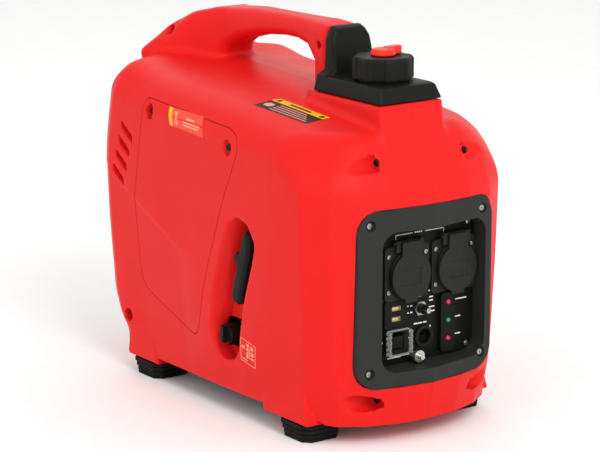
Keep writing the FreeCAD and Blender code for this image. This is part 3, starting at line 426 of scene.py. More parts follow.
def casingDistance(x, y, z):
    across = np.abs(x)
    below = 156 + 0.455 * y - z  # how far under the crease that rises to the rear
    lowTilt = (0.045 * np.maximum(0, below) * smoothStep(y, 10, 75) * smoothStep(z, 20, 90)
               * (1 - 0.6 * smoothStep(y, 150, 225)))
    lowTilt = lowTilt + 0.8 * smoothStep(below, 0, 4) * smoothStep(y, 40, 75)
    frontTilt = 0.06 * np.maximum(0, -112 - 0.36 * (z - 180) - y)
    narrow = curve(z, taperKnots) + lowTilt + frontTilt
    back = curve(z, rearKnots) * smoothStep(y, 0, 120) - 5 * smoothStep(-z, -80, -25) * smoothStep(-y, 0, 120)
    walls = outlineDistance(across + narrow, y + back, planPoints, 8)
    top = (z - curve(y, crestKnots) + curve(across, crownKnots)) * 0.97
    bow = curve(across, bowKnots)
    hood = ((bow - y - 248) * 64 + (z - 299) * 45) / 80
    facet = (across - 138) * 0.59 - (y + 182) * 0.478 + (z - 318) * 0.649
    body = roundMax(roundMax(top, hood, 10), facet, 9)
    body = roundMax(walls, body, 16 + 6 * smoothStep(y, 100, 200))
    body = roundMax(body, 23 + 6 * smoothStep(y, -195, -180) - z, 2)
    # handle
    arch = outlineDistance(y, z, archPoints)
    width = outlineDistance(across, y, widthPoints)
    tail = (z - curve(across, tailKnots) - 60 * (1 - smoothStep(y, 120, 215))) * 0.8
    handle = roundMax(roundMax(arch, width, 12), tail, 6)
    seat = roundMax(outlineDistance(y, z, seatPoints), across - 46, 4)
    whole = roundMin(roundMin(body, handle, 9), seat, 7)
    # feet pads
    rise = z - 22
    for low, high, tallest, lean in footPads:
        pad = np.maximum(np.maximum(across - 136 + 0.1 * rise, 74 - across),
                         np.maximum(low + lean * rise - y, y - high))
        pad = roundMax(pad, np.maximum(z - tallest, 22 - z), 1)
        whole = roundMin(whole, pad, 2)
    # recess
    depth = 143 + x
    middle = -37 - 0.31 * (z - 150)
    slope = 0.62 * np.clip((y - middle) / 22, 0, 1) + 0.05
    recess = np.maximum(outlineDistance(y, z, recessPoints, 11) + slope * np.maximum(depth, 0), x + 117)
    whole = roundMax(whole, -recess, 3)
    # pockets
    for py, pz, end, radius in casingPockets:
        whole = roundMax(whole, -rod(across, y, z, (end, 160), (py, pz), radius), 1.5)
    # the cover's two screw pockets
    for py, pz, floor in coverPockets:
        oval = np.maximum(np.hypot(y - py, (z - pz) * 0.78) - 7.5, x + floor)
        whole = roundMax(whole, -oval, 1.2)
    # vents
    (firstY, firstZ), (pitchY, pitchZ) = ventLook["first"], ventLook["pitch"]
    for i in range(ventLook["count"]):
        run = y - (firstY + pitchY * i)
        rise = z - (firstZ + pitchZ * i) - ventLook["slant"] * run
        slot = np.maximum(np.abs(run) - ventLook["half"], np.abs(rise) * 0.83 - ventLook["thick"])
        slot = np.maximum(slot, 136.5 + 0.12 * run - across)
        whole = roundMax(whole, -slot, 1.2)
    return whole


# helpers for pieces cut and joined from simple solids

def bentCorners(points, reach, steps=6):
    # the outline with its corners drawn as curves that start up to that far from each one
    p = np.array(points, float)
    bent = []
    for i in range(len(p)):
        before, after = p[i - 1] - p[i], p[(i + 1) % len(p)] - p[i]
        a = p[i] + before * min(0.48, reach / np.hypot(*before))
        b = p[i] + after * min(0.48, reach / np.hypot(*after))
        for t in np.linspace(0, 1, steps):
            bent.append(tuple((1 - t) ** 2 * a + 2 * t * (1 - t) * p[i] + t * t * b))
    return bent


def rectangle(low, high, radius):
    corners = [(low[0], low[1]), (high[0], low[1]), (high[0], high[1]), (low[0], high[1])]
    return bentCorners(corners, radius * 1.1)


def circle(middle, radius, count=40):
    return [(middle[0] + radius * math.cos(a), middle[1] + radius * math.sin(a))
            for a in np.linspace(0, 2 * math.pi, count, endpoint=False)]


def prism(outline, axis, low, high):
    # an outline, given in the two other coordinates in X, Y, Z order, pushed from low to high along an axis
    count = len(outline)
    points = []
    for level in (low, high):
        for u, v in outline:
            corner = [u, v]
            corner.insert("XYZ".index(axis), level)
            points.append(corner)
    faces = [list(range(count)), list(range(count, 2 * count))]
    faces += [[i, (i + 1) % count, (i + 1) % count + count, i + count] for i in range(count)]
    return points, faces


def solid(name, forms):
    # one object of several closed forms, with every face turned outwards
    points, faces = [], []
    for formPoints, formFaces in forms:
        faces += [[i + len(points) for i in face] for face in formFaces]
        points += [[v / 1000 for v in point] for point in formPoints]
    mesh = bpy.data.meshes.new(name)
    mesh.from_pydata(points, [], faces)
    work = bmesh.new()
    work.from_mesh(mesh)
    bmesh.ops.recalc_face_normals(work, faces=work.faces)
    work.to_mesh(mesh)
    work.free()
    piece = bpy.data.objects.new(name, mesh)
    bpy.context.collection.objects.link(piece)
    return piece


def applied(piece):
    # the piece with its modifiers made part of its mesh
    graph = bpy.context.evaluated_depsgraph_get()
    mesh = bpy.data.meshes.new_from_object(piece.evaluated_get(graph))
    piece.modifiers.clear()
    piece.data = mesh
    return piece


def carve(piece, tool, operation="DIFFERENCE"):
    # cuts the tool from the piece, or keeps what they share; the tool is used up
    step = piece.modifiers.new("carve", "BOOLEAN")
    step.operation = operation
    step.solver = "MANIFOLD"
    step.object = tool
    applied(piece)
    bpy.data.objects.remove(tool)
    return piece


def smooth(piece, angle=35):
    piece.data.polygons.foreach_set("use_smooth", [True] * len(piece.data.polygons))
    piece.data.set_sharp_from_angle(angle=math.radians(angle))
    return piece


def place(piece, body, finish, *nodes):
    # gives a finished piece its material, the body it rides on and the CAD nodes it stands for
    if finish:
        piece.data.materials.clear()
        piece.data.materials.append(materials[finish])
    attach(piece, body)
    if nodes:
        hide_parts(*nodes)
    return piece


# casing: both halves and the service cover, cut from one moulded form

casingLook = {"wall": 3, "step": 2.7, "hollowStep": 7, "coverGap": 0.9, "seam": 0.12}

reach = ((-152, -262, 14), (152, 262, 478))
shell = meshFromDistance("casingForm", casingDistance, *reach, casingLook["step"])
hollow = meshFromDistance("casingHollow", lambda x, y, z: casingDistance(x, y, z) + casingLook["wall"],
                          *reach, casingLook["hollowStep"])
carve(shell, hollow)
carve(shell, solid("casingOpenings", [
    prism(rectangle((-98.5, 68.5), (98.5, 280.5), 28), "Y", -270, -205),
    prism(rectangle((-96, 96), (96, 276), 18), "Y", 222, 262),
    prism(circle((0, -149), 33), "Z", 375, 400),
    prism(circle((-68, 200), 6), "X", -122, -108),
    prism(rectangle((-30, 78), (-2, 114), 3), "X", -122, -108),
]))


def insideWalls(x, y, z, gap):
    # negative further than a gap inside the casing's side walls, taken a little above its floor
    return casingDistance(x, y, np.maximum(z, 36)) + gap


def floorDistance(x, y, z):
    # the part of the casing's floor that makes room for the tray
    slab = np.maximum(np.maximum(np.abs(x) - 127, np.abs(y) - 210), np.maximum(26.5 - z, z - 38))
    return np.maximum(slab, insideWalls(x, y, z, 3.2))


carve(shell, meshFromDistance("floorOpening", floorDistance, (-132, -216, 20), (132, 216, 44), 3))
for footX in (-106, 106):
    for footY in (-154, 164):
        hole = rectangle((footX - 20, footY - 27), (footX + 20, footY + 27), 1)
        carve(shell, solid("footPadHole", [prism(hole, "Z", 15, 30)]))
coverOutline = [(140, 361), (-40, 350), (-57, 343), (-62, 330), (-32, 268), (-4, 200), (16, 150), (32, 92),
                (42, 82), (64, 86), (152, 117), (162, 132), (165, 228)]
coverCurve = bentCorners(coverOutline, 9)
coverHole = bentCorners(inset(coverOutline, -casingLook["coverGap"]), 9)
cover = bpy.data.objects.new("serviceCover", shell.data.copy())
bpy.context.collection.objects.link(cover)
carve(cover, solid("coverPrism", [prism(coverCurve, "X", -160, -112)]), "INTERSECT")
carve(shell, solid("coverOpening", [prism(coverHole, "X", -160, -112)]))
halves = {}
for side, sign in (("Left", -1), ("Right", 1)):
    half = bpy.data.objects.new("casing" + side, shell.data.copy())
    bpy.context.collection.objects.link(half)
    ends = sorted((sign * casingLook["seam"] / 2, sign * 170))
    carve(half, solid("halfSpace", [prism(rectangle((-280, 0), (280, 500), 1), "X", *ends)]), "INTERSECT")
    halves[side] = place(smooth(half), "casing", "redMouldedAbs", side.lower() + "_shell")
bpy.data.objects.remove(shell)
place(smooth(cover), "cover", "redMouldedAbs", "maintenance_cover")
print("casing cut into halves and cover")


trayLook = {"floor": 29, "top": 37, "well": 32, "padTop": 30, "padBottom": 22, "rim": 5.5, "step": 2.5}


def trayDistance(x, y, z):
    # the bottom tray: a rimmed plate with pads over the feet and under the engine, kept inside the casing
    depth = np.maximum(trayLook["floor"] - z, z - trayLook["top"])
    rim = trayLook["rim"]
    plate = roundMax(roundMax(np.abs(x) - 126.5, np.abs(y) - 209.5, 20), depth, 1)
    well = np.maximum(np.abs(x) - 126.5 + rim, np.abs(y) - 209.5 + rim)
    plate = np.maximum(plate, -np.maximum(well, trayLook["well"] - z))
    mount = np.maximum(np.maximum(np.abs(np.abs(x) - 36) - 18, np.abs(np.abs(y - 53.5) - 28.5) - 18), depth)
    pad = np.maximum(np.maximum(np.abs(np.abs(x) - 106) - 18, np.abs(np.abs(y - 5) - 159) - 26),
                     np.maximum(trayLook["padBottom"] - z, z - trayLook["padTop"]))
    form = np.minimum(np.minimum(plate, mount), pad)
    return np.maximum(form, insideWalls(x, y, z, 3.8))


tray = meshFromDistance("bottomTray", trayDistance, (-130, -214, 19), (130, 214, 40), trayLook["step"])
place(smooth(tray, 40), "casing", "blackMouldedPp", "base_tray")

# filler surround, cap and vent lever

surroundLook = {"round": 4, "step": 1.6, "lip": 31, "shelf": 410, "wing": -98}
surroundSide = [(-204, 390), (-196, 408), (-188, 410), (-96, 410), (-92, 440), (-86, 462), (-79, 466),
                (-73.6, 466), (-73.6, 390)]
surroundFront = [(-46, 390), (46, 390), (41, 410), (30, 415), (28, 452), (20, 466), (-20, 466), (-28, 452),
                 (-30, 415), (-41, 410)]


def surroundDistance(x, y, z):
    # a shelf round the filler with a tall wing behind it
    form = roundMax(outlineDistance(y, z, surroundSide), outlineDistance(x, z, surroundFront),
                    surroundLook["round"])
    form = np.where(y < surroundLook["wing"], roundMax(form, z - surroundLook["shelf"], 1), form)
    return roundMax(form, surroundLook["lip"] - np.hypot(x, y + 149), 1.5)


surround = meshFromDistance("fillerSurround", surroundDistance, (-50, -208, 386), (50, -70, 470),
                            surroundLook["step"])
place(smooth(surround, 50), "casing", "blackMouldedPp", "cap_surround")

capLook = {"radius": 36, "base": 412, "top": 438, "flats": 8, "bite": 2.4, "step": 1.3}


def capDistance(x, y, z):
    # a round cap with flats for the hand and a chamfered top
    u, v = x, y + 149
    turn = np.arctan2(v, u)
    reach = np.hypot(u, v)
    wave = np.cos(turn * capLook["flats"] / 2) ** 2
    edge = capLook["radius"] - capLook["bite"] * smoothStep(wave, 0.35, 0.6)
    skirt = reach - edge
    top = z - capLook["top"]
    form = roundMax(roundMax(skirt, top, 3), capLook["base"] - z, 1)
    form = roundMax(form, (reach - edge + z - capLook["top"] + 2.5) * 0.7, 1)
    well = np.maximum(np.maximum(reach - 31, z - 431), 12 - reach)
    form = np.maximum(form, -well)
    hub = np.maximum(reach - 8.06, z - 423.4)
    return np.maximum(np.maximum(form, -hub), 4.06 - reach)


cap = meshFromDistance("fuelCap", capDistance, (-38, -187, 409), (38, -111, 441), capLook["step"])
place(smooth(cap, 40), "cap", "blackMouldedPp", "fuel_cap")


leverLook = {"knob": 14.5, "base": 438.3, "top": 446, "tab": 24.5, "tabTop": 447.5, "stem": 4, "step": 1.0}


def leverDistance(x, y, z):
    # the vent lever: a low knob with a thumb tab, on a stem
    u, v = x, y + 149
    base = leverLook["base"]
    knob = roundMax(np.hypot(u, v) - leverLook["knob"] - 0.25 * (base - z + 3),
                    np.maximum(z - leverLook["top"], base - z), 2)
    tab = roundMax(roundMax(np.abs(v) - 6 + 0.08 * (u - 8), np.maximum(u - leverLook["tab"], 4 - u), 2),
                   np.maximum(z - leverLook["tabTop"] - 0.03 * u, base - z), 1.5)
    stem = np.maximum(np.hypot(u, v) - leverLook["stem"], np.maximum(z - 440, 430.5 - z))
    return np.minimum(roundMin(knob, tab, 1.5), stem)


lever = meshFromDistance("ventLever", leverDistance, (-19, -169, 428), (27, -129, 451), leverLook["step"])
place(smooth(lever, 50), "lever", "orangeMouldedAbs", "vent_lever")
print("filler surround, cap and lever made")

# starter grip: a rounded handle with a boss where the rope leaves it

gripLook = {"middle": -132, "half": 8, "round": 6.5, "boss": 9, "neck": 3.5, "step": 1.5}
gripOutline = [(-51, 139), (-39, 141), (-37, 152), (-53, 204), (-60, 226), (-68, 234), (-77, 226),
               (-76, 210), (-58, 148)]


def gripDistance(x, y, z):
    handle = roundMax(outlineDistance(y, z, gripOutline, 4),
                      np.abs(x - gripLook["middle"]) - gripLook["half"], gripLook["round"])
    boss = roundMax(np.hypot(y + 49, z - 195) - gripLook["boss"] - 0.1 * (x + 130), np.abs(x + 131) - 7, 4)
    neck = np.maximum(np.hypot(y + 68, z - 200) - gripLook["neck"], np.maximum(-126 - x, x + 117.4))
    return np.minimum(roundMin(handle, boss, 4), neck)


grip = meshFromDistance("starterGrip", gripDistance, (-143, -82, 134), (-113, -34, 238), gripLook["step"])
place(smooth(grip, 50), "grip", "blackMouldedPp", "starter_grip")


# repeats made with geometry nodes: screws, printed bars and foot ribs

def pointCloud(name, points, **values):
    # loose vertices that carry numbers or vectors for a tree to read
    mesh = bpy.data.meshes.new(name)
    mesh.from_pydata([[v / 1000 for v in point] for point in points], [], [])
    for key, entries in values.items():
        vector = hasattr(entries[0], "__len__")
        data = mesh.attributes.new(key, "FLOAT_VECTOR" if vector else "FLOAT", "POINT").data
        data.foreach_set("vector" if vector else "value", np.array(entries, float).ravel())
    piece = bpy.data.objects.new(name, mesh)
    bpy.context.collection.objects.link(piece)
    return piece


def newTree(name, numbers):
    # an empty tree with a geometry input, the named number inputs and a geometry output
    tree = bpy.data.node_groups.new(name, "GeometryNodeTree")
    tree.interface.new_socket("Geometry", in_out="INPUT", socket_type="NodeSocketGeometry")
    for key in numbers:
        tree.interface.new_socket(key, in_out="INPUT", socket_type="NodeSocketFloat")
    tree.interface.new_socket("Geometry", in_out="OUTPUT", socket_type="NodeSocketGeometry")
    return tree, addNode(tree, "NodeGroupInput", {})


def finishTree(tree, instances, finish):
    real = addNode(tree, "GeometryNodeRealizeInstances", {"Geometry": instances})
    painted = addNode(tree, "GeometryNodeSetMaterial", {
        "Geometry": real.outputs[0], "Material": materials[finish],
    })
    addNode(tree, "NodeGroupOutput", {0: painted.outputs[0]})


def grow(piece, tree, numbers):
    # runs a tree on a piece with its inputs set and keeps the resulting mesh
    step = piece.modifiers.new("grow", "NODES")
    step.node_group = tree
    for item in tree.interface.items_tree:
        if item.in_out == "INPUT" and item.name in numbers:
            step[item.identifier] = float(numbers[item.name])
    return applied(piece)


def attribute(tree, key, kind="FLOAT"):
    node = addNode(tree, "GeometryNodeInputNamedAttribute", {"data_type": kind, "Name": key})
    return node.outputs["Attribute"]


# screws: a low domed head with a cross recess, turned to face along each point's way
screwNumbers = {"Head height": 0.42, "Slot width": 0.24, "Slot depth": 0.35}
screwTree, screwIn = newTree("screwHeads", screwNumbers)
disc = addNode(screwTree, "GeometryNodeMeshCylinder", {
    "Vertices": 24, "Radius": 1.0, "Depth": screwIn.outputs["Head height"],
})
domeForm = addNode(screwTree, "GeometryNodeMeshUVSphere", {"Segments": 24, "Rings": 12, "Radius": 0.98})
flatter = addNode(screwTree, "ShaderNodeCombineXYZ", {
    "X": 1.0, "Y": 1.0, "Z": screwIn.outputs["Head height"],
})
dome = addNode(screwTree, "GeometryNodeTransform", {
    "Geometry": domeForm.outputs[0], "Scale": flatter.outputs[0],
})
slots = []
for size in ((1.3, None), (None, 1.3)):
    sides = addNode(screwTree, "ShaderNodeCombineXYZ", {
        "X": size[0] or screwIn.outputs["Slot width"], "Y": size[1] or screwIn.outputs["Slot width"],
        "Z": screwIn.outputs["Slot depth"],
    })
    cube = addNode(screwTree, "GeometryNodeMeshCube", {"Size": sides.outputs[0]})
    slots.append(addNode(screwTree, "GeometryNodeTransform", {
        "Geometry": cube.outputs[0], "Translation": (0, 0, 0.36),
    }).outputs[0])
headForm = addNode(screwTree, "GeometryNodeMeshBoolean", {"operation": "UNION"})
screwTree.links.new(disc.outputs[0], headForm.inputs["Mesh 2"])
screwTree.links.new(dome.outputs[0], headForm.inputs["Mesh 2"])
crossed = addNode(screwTree, "GeometryNodeMeshBoolean", {
    "operation": "DIFFERENCE", "Mesh 1": headForm.outputs[0],
})
for slot in slots:
    screwTree.links.new(slot, crossed.inputs["Mesh 2"])
facing = addNode(screwTree, "FunctionNodeAlignEulerToVector", {
    "axis": "Z", "Vector": attribute(screwTree, "way", "FLOAT_VECTOR"),
})
spread = addNode(screwTree, "GeometryNodeInstanceOnPoints", {
    "Points": screwIn.outputs[0], "Instance": crossed.outputs[0], "Rotation": facing.outputs[0],
    "Scale": attribute(screwTree, "size"),
})
finishTree(screwTree, spread.outputs[0], "zincPlatedSteel")

# where each screw sits, the way it faces and its radius
casingScrews = [((sign * (x + 2), y, z), (sign, 0, 0), 4.3) for sign in (-1, 1) for y, z, x in (
    (-221, 331, 62), (-222, 52, 60), (203, 70, 100), (217, 425, 30), (-57, 440, 12))]
coverScrews = [((-138.2, 129, 345), (-1, 0, 0), 4.6), ((-141.7, -40, 328), (-1, 0, 0), 4.6)]
panelScrews = [((x, -231.9, z), (0, -1, 0), 3.3) for x in (-82, 82) for z in (262, 88)]
panelScrews += [((x, -212.2, z), (0, -1, 0), 3.2) for x in (-58, 78) for z in (243, 95)]
panelScrews += [((x + dx, -214.6, 195 + dz), (0, -1, 0), 2.6)
                for x in (-13, 56) for dx in (-27, 27) for dz in (-21, 21)]
# the casing and cover screws take the dark reddish steel, which paints the shade of their deep pockets into the
# screw colour
for name, entries, body, node, finish in (
    ("casingScrewHeads", casingScrews, "casing", "casing_screws", "blackOxideSteelPaintedPocketShade"),
    ("coverScrewHeads", coverScrews, "cover", "cover_screws", "blackOxideSteelPaintedPocketShade"),
    ("panelScrewHeads", panelScrews, "casing", "panel_screws", "zincPlatedSteel"),
):
    points, ways, sizes = zip(*entries)
    heads = pointCloud(name, points, way=ways, size=[size / 1000 for size in sizes])
    grow(heads, screwTree, screwNumbers)
    place(smooth(heads, 30), body, finish, node)

# printed bars: each point is one bar of the panel's printing, with its size
barNumbers = {"Thickness": 0.00025}
barTree, barIn = newTree("printedBars", barNumbers)
barCube = addNode(barTree, "GeometryNodeMeshCube", {})
barSize = addNode(barTree, "ShaderNodeSeparateXYZ", {0: attribute(barTree, "size", "FLOAT_VECTOR")})
barScale = addNode(barTree, "ShaderNodeCombineXYZ", {
    "X": barSize.outputs[0], "Y": barIn.outputs["Thickness"], "Z": barSize.outputs[2],
})
bars = addNode(barTree, "GeometryNodeInstanceOnPoints", {
    "Points": barIn.outputs[0], "Instance": barCube.outputs[0], "Scale": barScale.outputs[0],
})
finishTree(barTree, bars.outputs[0], "whitePanelInk")
# centre x and z, width and height of each bar
printing = [
    (-27.6, 237, 1, 5), (-15.2, 239.6, 25, 1), (42.7, 237, 1, 5), (29, 239.6, 27.5, 1), (-52.5, 146, 1, 12),
    (-54.6, 148, 1, 5), (-50.4, 147, 1, 5), (-52.5, 144.6, 5, 1), (-52.5, 152.6, 2.4, 2.4),
    (-9.6, 152.7, 3.4, 1.6), (-4, 152.5, 3, 1.6), (-9.3, 144.6, 3.4, 1.6), (-3.8, 144.6, 3, 1.6),
    (13.5, 167, 20, 1.2), (8.6, 162.5, 4.6, 1.6), (25.3, 159.2, 5.6, 1.5), (25.3, 155, 5.6, 1.5),
    (26.2, 147.2, 8.4, 1.5), (26.4, 142, 8.8, 1.5), (2.8, 130, 5.6, 1.7), (9.4, 130, 6, 1.7),
    (16.2, 130, 5, 1.7), (24.3, 124, 2, 2), (-5.9, 123, 1.6, 1.6), (-47.4, 114.4, 3.6, 1.4),
    (-8, 114.8, 4, 1.4), (-28.4, 97.2, 25, 0.9), (-28.6, 94.4, 19.4, 1.8), (68.4, 150.6, 20, 1.5),
    (64.4, 129.5, 10.5, 1.5), (64.6, 108.5, 10.5, 1.5),
]
printing += [(1 + 3 * i, 239.8, 2.2, 1.6) for i in range(4)]
prints = pointCloud("panelPrinting", [(x, -211.1, z) for x, z, w, h in printing],
                    size=[(w / 1000, 0, h / 1000) for x, z, w, h in printing])
grow(prints, barTree, barNumbers)
place(prints, "casing", None)

# feet: stacked ribs that narrow towards the floor round a plain core
footNumbers = {"Side": 0.060, "Rib height": 0.0046, "Narrowing": 0.035}
footTree, footIn = newTree("ribbedFeet", footNumbers)
square = addNode(footTree, "GeometryNodeCurvePrimitiveQuadrilateral", {
    "Width": footIn.outputs["Side"], "Height": footIn.outputs["Side"],
})
rounder = addNode(footTree, "GeometryNodeFilletCurve", {0: square.outputs[0], "Radius": 0.010})
slab = addNode(footTree, "GeometryNodeFillCurve", {0: rounder.outputs[0]})
lift = addNode(footTree, "ShaderNodeCombineXYZ", {"Z": footIn.outputs["Rib height"]})
thick = addNode(footTree, "GeometryNodeExtrudeMesh", {
    0: slab.outputs[0], "Offset": lift.outputs[0], "Individual": False,
})
base = addNode(footTree, "GeometryNodeFlipFaces", {0: slab.outputs[0]})
rib = addNode(footTree, "GeometryNodeJoinGeometry", {})
footTree.links.new(thick.outputs[0], rib.inputs[0])
footTree.links.new(base.outputs[0], rib.inputs[0])
closed = addNode(footTree, "GeometryNodeMergeByDistance", {0: rib.outputs[0]})
ribs = addNode(footTree, "GeometryNodeInstanceOnPoints", {
    "Points": footIn.outputs[0], "Instance": closed.outputs[0],
    "Scale": attribute(footTree, "size", "FLOAT_VECTOR"),
})
finishTree(footTree, ribs.outputs[0], "footRubber")
footPoints, footSizes = [], []
for x in (-106, 106):
    for y in (-154, 164):
        for level, (wide, high) in enumerate(((0.86, 0.7), (0.88, 1.0), (0.93, 1.0), (0.98, 1.0))):
            footPoints.append((x, y, (0, 4.3, 10.3, 16.3)[level]))
            footSizes.append((wide, wide, high))
        footPoints.append((x, y, 0.6))
        footSizes.append((0.82, 0.82, 21.2 / 4.6))
feet = pointCloud("ribbedFeet", footPoints, size=footSizes)
grow(feet, footTree, footNumbers)
place(smooth(feet, 40), "casing", None, "rubber_feet")
print("repeats grown")

# panel fittings that need more than the CAD shape

def turned(profile, middle, axis="Y", count=32):
    # a turned form: profile is (radius, place along the axis) from one end to the other
    points, faces = [], []
    for radius, along in profile:
        for a in np.linspace(0, 2 * math.pi, count, endpoint=False):
            corner = [middle[0] + radius * math.cos(a), middle[1] + radius * math.sin(a)]
            corner.insert("XYZ".index(axis), along)
            points.append(corner)
    rings = len(profile)
    for k in range(rings - 1):
        low, high = k * count, (k + 1) * count
        faces += [[low + i, low + (i + 1) % count, high + (i + 1) % count, high + i] for i in range(count)]
    faces += [list(range(count)), list(range((rings - 1) * count, rings * count))]
    return points, faces


lampLook = {
    "x": 46.5, "places": ((151, "red"), (129, "green"), (107, "red")),
    "profile": [(3, -213), (3, -217.5), (2.7, -218.3), (2.0, -218.9), (1.0, -219.2), (0.2, -219.3)],
}
for z, tint in lampLook["places"]:
    form = turned(lampLook["profile"], (lampLook["x"], z), count=20)
    lens = solid("lamp" + tint.title() + str(z), [form])
    place(smooth(lens, 60), "casing", tint + "LampAcrylic")
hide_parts("lamp_lenses")

# gold port shells inside the data ports
portLevels = (138.5, 151)
portRings = []
for z in portLevels:
    outer, inner = ((-34.6, z + 0.1), (-22.4, z + 5.3)), ((-34.1, z + 0.5), (-22.9, z + 4.9))
    for low, high in ((outer[0], (outer[1][0], inner[0][1])), ((outer[0][0], inner[1][1]), outer[1]),
                      ((outer[0][0], inner[0][1]), (inner[0][0], inner[1][1])),
                      ((inner[1][0], inner[0][1]), (outer[1][0], inner[1][1]))):
        portRings.append(prism([low, (high[0], low[1]), high, (low[0], high[1])], "Y", -214.2, -206))
place(solid("portShells", portRings), "casing", "goldFlashSteel")
portBacks = [prism([(-34, z + 0.6), (-23, z + 0.6), (-23, z + 3.6), (-34, z + 3.6)], "Y", -211.4, -210.6)
             for z in portLevels]
place(solid("portBacks", portBacks), "casing", "creamNylon")

# the clear boot over the breaker, with ribs along its sides
bootLook = {"low": (-44.5, 98), "high": (-10.5, 130), "front": -226, "back": -215.2, "wall": 1, "ribs": 5}


def bootDistance(x, y, z):
    (left, bottom), (right, top) = bootLook["low"], bootLook["high"]
    box = outlineDistance(x, z, [(left, bottom), (right, bottom), (right, top), (left, top)], 4)
    ripple = np.cos((z - bottom) * 2 * math.pi * bootLook["ribs"] / (top - bottom))
    box = box + 0.5 * ripple * smoothStep(-y, 215, 218)
    box = box + 0.08 * (-215 - y)  # narrower towards the front
    form = roundMax(box, np.maximum(bootLook["front"] - y, y - bootLook["back"]), 2.5)
    void = np.maximum(box + bootLook["wall"], bootLook["front"] + bootLook["wall"] - y)
    return np.maximum(form, -void)


boot = meshFromDistance("breakerBoot", bootDistance, (-48, -228, 94), (-7, -213, 134), 1.0)
place(smooth(boot, 50), "casing", "clearVinylBoot")
print("panel fittings made")

# printed labels that follow the casing

def settled(points, way):
    # points moved along a direction until they meet the casing
    points = np.array(points, float)
    for _ in range(60):
        points = points + casingDistance(*points.T)[:, None] * way
    return points


def label(name, corners, spots, way, finish, body, lift):
    # a thin printed patch over each spot (low u, low v, high u, high v) of a four-cornered field
    way = np.array(way, float)
    a, b, c, d = (np.array(corner, float) for corner in corners)
    forms = []
    for u0, v0, u1, v1 in spots:
        n = 2 + int(np.linalg.norm(b - a) * abs(u1 - u0) / 5)
        m = 2 + int(np.linalg.norm(d - a) * abs(v1 - v0) / 5)
        grid = [a * (1 - u) * (1 - v) + b * u * (1 - v) + c * u * v + d * (1 - u) * v
                for u in np.linspace(u0, u1, n) for v in np.linspace(v0, v1, m)]
        down = settled(grid, way)
        points = [list(p) for p in np.concatenate([down - way * lift, down + way * 0.3])]
        count = n * m
        cell = [(i * m + j, i * m + j + 1, (i + 1) * m + j + 1, (i + 1) * m + j)
                for i in range(n - 1) for j in range(m - 1)]
        rim = list(range(m)) + [i * m + m - 1 for i in range(1, n)]
        rim += [(n - 1) * m + j for j in range(m - 2, -1, -1)] + [i * m for i in range(n - 2, 0, -1)]
        faces = [list(f) for f in cell] + [[q + count for q in reversed(f)] for f in cell]
        faces += [[rim[k], rim[(k + 1) % len(rim)], rim[(k + 1) % len(rim)] + count, rim[k] + count]
                  for k in range(len(rim))]
        forms.append((points, faces))
    return place(smooth(solid(name, forms), 30), body, finish)


# shoulder label: black with a yellow strip; the field runs from rear to front and from outside in
shoulder = [(-104, -34.5, 420), (-93.4, -126.2, 420), (-61.2, -131.3, 420), (-68.8, -40.1, 420)]
down = (0, 0, -1)
label("shoulderLabelBase", shoulder, [(0, 0, 1, 1)], down, "blackLabelVinyl", "casing", 0.12)
label("shoulderLabelStrip", shoulder, [(0.01, 0.68, 0.99, 0.985)], down, "yellowLabelVinyl", "casing", 0.2)
stripMarks = [(0.3, 0.78, 0.7, 0.88), (0.06, 0.74, 0.12, 0.92), (0.88, 0.74, 0.94, 0.92)]
label("shoulderLabelMarks", shoulder, stripMarks, down, "blackLabelVinyl", "casing", 0.28)
plainBars = [(0.26, 0.1 + 0.14 * k, 0.94 - 0.06 * k, 0.145 + 0.14 * k) for k in range(4)]
label("shoulderLabelText", shoulder, plainBars, down, "pinkLabelInk", "casing", 0.2)
label("shoulderLabelSpot", shoulder, [(0.08, 0.22, 0.18, 0.5), (0.06, 0.29, 0.2, 0.43)],
      down, "pinkLabelInk", "casing", 0.24)

# service label: orange with a yellow strip, a plain tool shape and two bars
service = [(-170, 88.6, 357.3), (-170, 16.7, 355.5), (-170, 9.7, 331.8), (-170, 81.7, 336.3)]
inward = (1, 0, 0)
label("serviceLabelBase", service, [(0, 0, 1, 1)], inward, "orangeLabelVinyl", "cover", 0.12)
label("serviceLabelStrip", service, [(0, 0, 0.1, 1)], inward, "yellowLabelVinyl", "cover", 0.2)
label("serviceLabelMarks", service, [
    (0.2, 0.15, 0.24, 0.85), (0.17, 0.12, 0.19, 0.32), (0.25, 0.12, 0.27, 0.32), (0.17, 0.68, 0.27, 0.76),
    (0.52, 0.3, 0.76, 0.4), (0.42, 0.52, 0.92, 0.6), (0.42, 0.68, 0.88, 0.76),
], inward, "paleLabelInk", "cover", 0.2)

# rating label beside the starter recess: a pale outline round a few plain blocks
rating = [(-170, -59.5, 103.4), (-170, -89.5, 97.4), (-170, -86, 69.4), (-170, -58.4, 75)]
label("ratingLabel", rating, [
    (0, 0, 1, 0.03), (0, 0.97, 1, 1), (0, 0, 0.03, 1), (0.97, 0, 1, 1), (0.1, 0.3, 0.28, 0.42),
    (0.4, 0.12, 0.6, 0.24), (0.4, 0.3, 0.52, 0.42), (0.56, 0.3, 0.62, 0.72), (0.68, 0.14, 0.86, 0.3),
    (0.4, 0.48, 0.5, 0.76), (0.7, 0.38, 0.88, 0.56), (0.68, 0.64, 0.9, 0.72), (0.12, 0.84, 0.5, 0.88),
], inward, "paleLabelInk", "casing", 0.15)
print("labels laid")

# finishes of the CAD pieces that keep their shape

